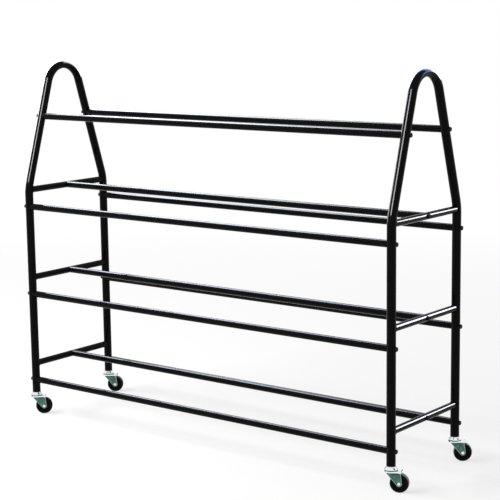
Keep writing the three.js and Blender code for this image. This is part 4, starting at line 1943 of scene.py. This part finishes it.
@dataclass
class Casters:
    """The four swivel casters, and the plugs that hold them in the legs."""

    layout: CartLayout
    sides: int = 96
    race_gap: float = 1.3
    race_balls: int = 30
    # the next three fields place a spot on each cap painted dark as a painted reflection, at one
    # bearing on every cap
    dimple_bearing: float = -27.0
    dimple_reach: float = 18.4
    dimple_rise: float = 5.4
    tyre_depth: float = 6.7
    tyre_half_width: float = 10.0
    core_rim: float = 2.6
    # the heights where the cheeks' darker green, painted shade, gives way to the bright crown
    tint_start: float = 7.6
    tint_end: float = 5.6
    rivet_foot: float = field(init=False)
    stem_top: float = field(init=False)
    cap_radius: float = field(init=False)
    cap_under: float = field(init=False)
    cap_top: float = field(init=False)
    crown_top: float = field(init=False)
    wheel_radius: float = field(init=False)
    tyre_inner: float = field(init=False)
    core_radius: float = field(init=False)
    fork: CasterFork = field(init=False)

    def __post_init__(self) -> None:
        """Reads the heights of a caster's layers, in millimetres."""
        corner = self.layout.corners[0]
        stem_low, stem_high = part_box(f"{corner.name}_caster_stem")
        self.rivet_foot = stem_low.z / MM
        self.stem_top = stem_high.z / MM
        self.cap_radius = (stem_high.x - stem_low.x) / 2 / MM
        fork_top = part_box(f"{corner.name}_fork")[1].z / MM
        self.cap_under = fork_top + self.layout.seat_gap / MM
        self.crown_top = self.cap_under - self.race_gap
        self.cap_top = (self.layout.line.foot - self.layout.seat_gap) / MM
        self.wheel_radius = corner.wheel.z / MM
        self.tyre_inner = self.wheel_radius - self.tyre_depth
        self.core_radius = self.tyre_inner - self.layout.seat_gap / MM
        away = corner.wheel - corner.leg
        trail = math.hypot(away.x, away.y) / MM
        self.fork = CasterFork(self.wheel_radius, trail, self.crown_top)

    def build(self) -> list[bpy.types.Object]:
        """Builds all four, and gives the leg plugs their finish.

        Returns:
            The pieces.
        """
        tint_top = (self.crown_top - self.tint_end) * MM
        zinc = ForkZinc(tint_top, (self.crown_top - self.tint_start) * MM).material()
        core = MouldedPlastic("moulded_wheel_core").material()
        plug = MouldedPlastic("moulded_leg_plug", low_gloss=0.45, high_gloss=0.6).material()
        races = race_tree()
        fork = self.fork.build("fork_pattern", zinc)
        made: list[bpy.types.Object] = []
        for corner in self.layout.corners:
            made += self._caster(corner, fork, core, races)
            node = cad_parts[f"{corner.name}_leg_plug"]
            node.data.materials.clear()
            node.data.materials.append(plug)
        bpy.data.objects.remove(fork)
        return made

    def _caster(
        self,
        corner: Corner,
        fork: bpy.types.Object,
        core: bpy.types.Material,
        races: bpy.types.NodeTree,
    ) -> list[bpy.types.Object]:
        """Builds the pieces of one caster.

        Args:
            corner: where it stands.
            fork: the fork that is copied.
            core: the wheel core's finish.
            races: the tree of the race balls.

        Returns:
            The pieces.
        """
        name = corner.name
        swivel, wheel = f"{name}_swivel", f"{name}_wheel"
        # the spot painted dark as a painted reflection, at the same bearing on every cap
        aim = math.radians(self.dimple_bearing)
        dimple = (
            corner.leg.x + self.dimple_reach * MM * math.cos(aim),
            corner.leg.y + self.dimple_reach * MM * math.sin(aim),
            (self.cap_under + self.dimple_rise) * MM,
        )
        # the cap is painted dark low down, as grease with the painted shade of the race gap, and
        # round the leg's foot, as dirt with painted contact shade
        stem_zinc = BrightZinc(
            f"{name}_bright_cap",
            corner.leg,
            grease_top=(self.cap_under + 1.0) * MM,
            foot_radius=self.layout.tube_radius,
            dimple=dimple,
        ).material()
        axle_turn = (math.pi / 2, 0.0, corner.turn)
        axle_zinc = BrightZinc(f"{name}_bright_axle", corner.wheel, axle_turn).material()
        rubber = TyreRubber(
            f"{name}_black_rubber",
            corner.wheel,
            corner.turn,
            self.wheel_radius * MM,
            TREAD_SCUFFS_AND_HIGHLIGHTS[name],
        ).material()
        stem = self._turned_piece(f"{name}_cap", self._stem_profile(), Axis.UPRIGHT, stem_zinc)
        stem.data.transform(Matrix.Translation(corner.leg))
        pieces = [dress(stem, CART_BODY, Slot.ZINC, [f"{name}_caster_stem"])]
        own_fork = copied(fork, f"{name}_pressed_fork", corner.caster_place)
        pieces.append(dress(own_fork, swivel, Slot.FORK, [f"{name}_fork"]))
        pieces.append(dress(self._races(corner, stem_zinc, races), swivel, Slot.ZINC))
        for kind, profile, material, body, slot in (
            ("axle", self._axle_profile(), axle_zinc, swivel, Slot.ZINC),
            ("wheel_core", self._core_profile(), core, wheel, Slot.CORE),
            ("tyre", self._tyre_profile(), rubber, wheel, Slot.TYRE),
        ):
            piece = self._turned_piece(f"{name}_{kind}_turned", profile, Axis.ACROSS, material)
            piece.data.transform(corner.wheel_place)
            pieces.append(dress(piece, body, slot, [f"{name}_{kind}"]))
        return pieces

    def _turned_piece(
        self, name: str, profile: Outline, axis: Axis, material: bpy.types.Material
    ) -> bpy.types.Object:
        """Turns a profile into a piece about its own axis."""
        points, faces = turned(profile, self.sides, axis)
        return new_piece(name, points, faces, material, Crease.TURNED)

    def _races(
        self, corner: Corner, zinc: bpy.types.Material, tree: bpy.types.NodeTree
    ) -> bpy.types.Object:
        """The ring of balls between the cap and the fork.

        Args:
            corner: where the caster stands.
            zinc: the balls' finish.
            tree: the tree of the race balls.

        Returns:
            The ring.
        """
        height = (self.crown_top + self.fork.ball_height) * MM
        values = {
            "Count": self.race_balls,
            "Ring Radius": self.fork.ball_ring_radius * MM,
            "Ball Radius": self.fork.ball_radius * MM,
            "Centre": (corner.leg.x, corner.leg.y, height),
            "Material": zinc,
        }
        return grown(sketched(f"{corner.name}_race_balls", []), tree, values)

    def _stem_profile(self) -> Outline:
        """Rivet, kingpin, raceway cap and stem.

        Returns:
            The profile, from the rivet's foot up to the stem's top.
        """
        under, top, rim = self.cap_under, self.cap_top, self.cap_radius
        ring, ball = self.fork.ball_ring_radius, self.fork.ball_radius + self.fork.ball_play
        return rounded(
            [
                (0, self.rivet_foot, 0),
                (3.2, self.rivet_foot, 1.0),
                (5.6, self.rivet_foot + 0.5, 1.2),
                (6.5, self.rivet_foot + 1.3, 0.6),
                (6.5, self.rivet_foot + 2.2, 0.2),
                (4.0, self.rivet_foot + 2.2, 0.2),
                (4.0, under, 0.3),
                (ring - ball, under, 0.2),
                (ring - ball * 0.6, under + 0.55, 0.3),
                (ring + ball * 0.6, under + 0.55, 0.3),
                (ring + ball, under, 0.2),
                (rim - 0.2, under, 0.5),
                (rim, under + 0.9, 0.6),
                (rim, under + 2.6, 1.2),
                (18.4, under + 5.4, 2.5),
                (16.0, top - 2.7, 1.8),
                (14.4, top - 0.5, 1.2),
                (13.5, top, 0.5),
                (5.9, top, 0.3),
                (5.5, top + 0.5, 0.3),
                (5.5, self.stem_top - 1.5, 0.5),
                (4.2, self.stem_top, 0.4),
                (0, self.stem_top, 0),
            ],
            closed=False,
        )

    def _axle_profile(self) -> Outline:
        """The axle with its two domed heads, through the fork.

        Returns:
            The profile, from one head to the other.
        """
        seat = self.fork.gap / 2 + self.fork.sheet + self.layout.seat_gap / MM
        half = [
            (3.2, 0, 0),
            (3.2, seat, 0.2),
            (5.0, seat, 0.2),
            (5.0, seat + 1.5, 1.4),
            (3.0, seat + 3.1, 2.6),
            (0, seat + 3.2, 0),
        ]
        return rounded(mirrored(half[1:]) + half[1:], closed=False, steps=7)

    def _core_profile(self) -> Outline:
        """The moulded core: hub, web and rim.

        Returns:
            The closed profile.
        """
        hub_end = self.fork.gap / 2 - 0.5
        half = [
            (3.55, hub_end, 0.3),
            (8.5, hub_end, 0.8),
            (8.5, 5.2, 1.2),
            (11.5, 4.5, 0.8),
            (12.5, 5.0, 0.5),
            (13.5, 4.5, 0.8),
            (self.core_radius - self.core_rim - 0.4, 4.5, 1.2),
            (self.core_radius - self.core_rim, 9.0, 0.6),
            (self.core_radius, 9.0, 0.5),
        ]
        return rounded(half + mirrored(half), closed=True, steps=4)

    def _tyre_profile(self) -> Outline:
        """The tyre: side walls with a shallow step, rounded shoulders and a crowned tread.

        Returns:
            The closed profile.
        """
        half = [
            (self.tyre_inner, self.tyre_half_width - 0.4, 0.3),
            (self.tyre_inner + 1.0, self.tyre_half_width, 0.4),
            (self.tyre_inner + 2.6, self.tyre_half_width, 0.4),
            (self.tyre_inner + 3.1, self.tyre_half_width - 0.35, 0.4),
            (self.wheel_radius - 2.4, self.tyre_half_width - 0.5, 1.0),
            (self.wheel_radius - 0.3, self.tyre_half_width - 2.3, 1.8),
            (self.wheel_radius, 3.5, 3.0),
        ]
        return rounded(half + mirrored(half), closed=True, steps=4)


# ---- Studio -------------------------------------------------------------------------------------


@dataclass(frozen=True)
class Softbox:
    """One soft lamp: where it hangs, its size, its power, what it faces and its tint.

    A softbox lights everything and is mirrored in nothing. One that names the tubes it is mirrored
    in is a bright card beside them: it lights nothing and shows as a line of gloss on those tubes.
    """

    name: str
    place: Place
    size: tuple[float, float]
    watts: float
    aim: Place = (0.0, 0.0, 0.7)
    tint: Colour = (1.0, 1.0, 1.0)
    mirrored_in: tuple[str, ...] = ()

    def build(self, pieces: Iterable[bpy.types.Object]) -> None:
        """Hangs the lamp.

        Args:
            pieces: the dressed pieces, among which a card finds its tubes by name.
        """
        lamp = bpy.data.lights.new(self.name, "AREA")
        lamp.shape = "RECTANGLE"
        lamp.size, lamp.size_y = self.size
        lamp.energy = self.watts
        lamp.color = self.tint
        box = added(self.name, lamp)
        box.location = self.place
        sight = Vector(self.aim) - Vector(self.place)
        box.rotation_euler = sight.to_track_quat("-Z", "Y").to_euler()
        box.visible_camera = False
        box.visible_glossy = bool(self.mirrored_in)
        box.visible_diffuse = not self.mirrored_in
        if self.mirrored_in:
            tubes = bpy.data.collections.new(f"{self.name}_tubes")
            for piece in pieces:
                if any(word in piece.name for word in self.mirrored_in):
                    tubes.objects.link(piece)
            box.light_linking.receiver_collection = tubes


# what the cards face: the arches and the right end's crossbars
LEFT_ARCH = (-0.753, 0.0, 1.22)
RIGHT_ARCH = (0.72, 0.0, 1.22)
UPPER_CROSSBAR = (0.72, 0.0, 0.8)
LOW_CROSSBARS = (0.72, 0.0, 0.2)
SKY = (0.36, 0.48, 1.0)


@dataclass
class Studio:
    """The pale floor, the soft light from above and the camera at the photograph's angle."""

    layout: CartLayout
    pieces: list[bpy.types.Object]
    floor_colour: Colour = (0.38, 0.38, 0.38)
    floor_reach: float = 60.0
    floor_lift: float = 0.65
    pale_reach: float = 1.0
    white_reach: float = 4.5
    fill_level: float = 0.40
    softboxes: tuple[Softbox, ...] = (
        Softbox("key_softbox", (-2.45, -2.1, 3.05), (3.2, 0.7), 175.0),
        Softbox(
            "rail_line_card", (-2.45, -2.1, 3.05), (3.2, 0.7), 175.0, mirrored_in=("rail_tube",)
        ),
        Softbox(
            "rail_top_card", (-2.6, 0.9, 3.6), (2.4, 2.2), 800.0, tint=(0.80, 0.88, 1.0),
            mirrored_in=("rail_tube",),
        ),
        Softbox("leg_line_card", (-0.33, -5.6, 3.7), (2.6, 2.2), 1700.0, mirrored_in=("hoop",)),
        Softbox("leg_edge_card", (-5.2, 0.4, 1.3), (3.6, 1.6), 230.0, mirrored_in=("hoop",)),
        Softbox(
            "crossbar_card", (1.99, 2.38, 1.55), (0.40, 1.1), 95.0, UPPER_CROSSBAR,
            mirrored_in=("right_upper_crossbar",),
        ),
        Softbox(
            "low_crossbar_card", (1.99, 2.38, 1.55), (1.0, 1.2), 330.0, LOW_CROSSBARS,
            (0.90, 0.93, 1.0), ("right_lower_crossbar", "right_bottom_crossbar"),
        ),
        Softbox(
            "left_arch_card", (-1.83, 2.84, 2.84), (9.4, 3.2), 3900.0, LEFT_ARCH,
            (0.80, 0.84, 1.0), ("left_hoop",),
        ),
        Softbox(
            "right_arch_card", (-0.78, 2.15, 3.06), (7.6, 3.2), 2600.0, RIGHT_ARCH, SKY,
            ("right_hoop",),
        ),
        Softbox(
            "right_arch_low_card", (2.17, 2.73, 2.08), (2.1, 1.36), 140.0, RIGHT_ARCH, SKY,
            ("right_hoop",),
        ),
        Softbox(
            "right_arch_rim_card", (-0.22, 2.89, 1.85), (5.6, 0.87), 600.0, RIGHT_ARCH,
            (0.92, 0.95, 1.0), ("right_hoop",),
        ),
    )
    camera_from_legs: Place = (3.003157, -3.762755, 1.43467)
    camera_yaw: float = -0.66032
    camera_pitch: float = 0.16642
    camera_roll: float = -0.01367
    camera_lens: float = 107.516
    camera_sensor: float = 36.0
    camera_sight: float = 200.0

    def build(self) -> None:
        """Builds the studio."""
        bpy.context.scene.view_settings.view_transform = "Standard"
        self._floor()
        self._world()
        for softbox in self.softboxes:
            softbox.build(self.pieces)
        self._camera()

    @staticmethod
    def _seen(graph: Graph) -> bpy.types.NodeSocket:
        """Tells what is seen from what only lights the object.

        Args:
            graph: the tree that asks.

        Returns:
            1 for what the camera, a mirror or glass shows, and else 0.
        """
        path = graph.node("ShaderNodeLightPath").outputs
        seen = graph.math("MAXIMUM", path["Is Camera Ray"], path["Is Glossy Ray"])
        return graph.math("MAXIMUM", seen, path["Is Transmission Ray"])

    def _floor(self) -> None:
        """The floor: plain and pale, and plain white far from the cart."""
        mesh = bpy.data.meshes.new("floor")
        reach = self.floor_reach
        corners = [(-reach, -reach, 0), (reach, -reach, 0), (reach, reach, 0), (-reach, reach, 0)]
        mesh.from_pydata(corners, [], [(0, 1, 2, 3)])
        floor = added("floor", mesh)
        skin = Skin("pale_floor")
        away = skin.node("ShaderNodeVectorMath", {0: skin.place}, operation="LENGTH")
        far = skin.spread(away.outputs["Value"], self.pale_reach, self.white_reach)
        seen = self._seen(skin)
        glow = skin.spread(far, 0.0, 1.0, self.floor_lift, 1.0)
        blank = skin.math("MULTIPLY", seen, far)
        skin.set(
            Base_Color=skin.mix(blank, self.floor_colour, (0.0, 0.0, 0.0)),
            Roughness=1.0,
            Specular_IOR_Level=0.0,
            Emission_Color=(1.0, 1.0, 1.0),
            Emission_Strength=skin.math("MULTIPLY", seen, glow),
        )
        mesh.materials.append(skin.material)

    def _world(self) -> None:
        """A plain pale world: white where it is seen, dimmer where it only fills."""
        world = bpy.data.worlds.new("pale_studio")
        world.use_nodes = True
        bpy.context.scene.world = world
        graph = Graph(world.node_tree)
        back = next(n for n in world.node_tree.nodes if n.type == "BACKGROUND")
        graph.feed(back.inputs["Color"], (1.0, 1.0, 1.0))
        level = graph.spread(self._seen(graph), 0.0, 1.0, self.fill_level, 1.0)
        graph.feed(back.inputs["Strength"], level)

    def _camera(self) -> None:
        """The camera, placed from the middle of the four legs."""
        middle = sum((corner.leg for corner in self.layout.corners), Vector()) / 4
        data = bpy.data.cameras.new("camera")
        data.lens = self.camera_lens
        data.sensor_width = self.camera_sensor
        data.clip_end = self.camera_sight
        camera = added("camera", data)
        turn = Matrix.Rotation(-self.camera_yaw, 4, "Z")
        turn @= Matrix.Rotation(math.pi / 2 - self.camera_pitch, 4, "X")
        turn @= Matrix.Rotation(self.camera_roll, 4, "Z")
        camera.matrix_world = Matrix.Translation(middle + Vector(self.camera_from_legs)) @ turn
        bpy.context.scene.camera = camera


def main() -> None:
    """Builds the cart's look, piece by piece."""
    logging.basicConfig(level=logging.INFO, format="%(name)s: %(message)s")
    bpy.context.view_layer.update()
    layout = CartLayout.read()
    coat = PowderCoat().material()
    made = EndHoops(layout, coat).build()
    made += Bars(layout, coat).build()
    made += Welds(layout, coat).build()
    made += RailBolts(layout, BlackBolt().material()).build()
    made += Casters(layout).build()
    Studio(layout, made).build()
    log.info("%d pieces, %d faces", len(made), sum(len(p.data.polygons) for p in made))


if __name__ == "__main__":
    main()
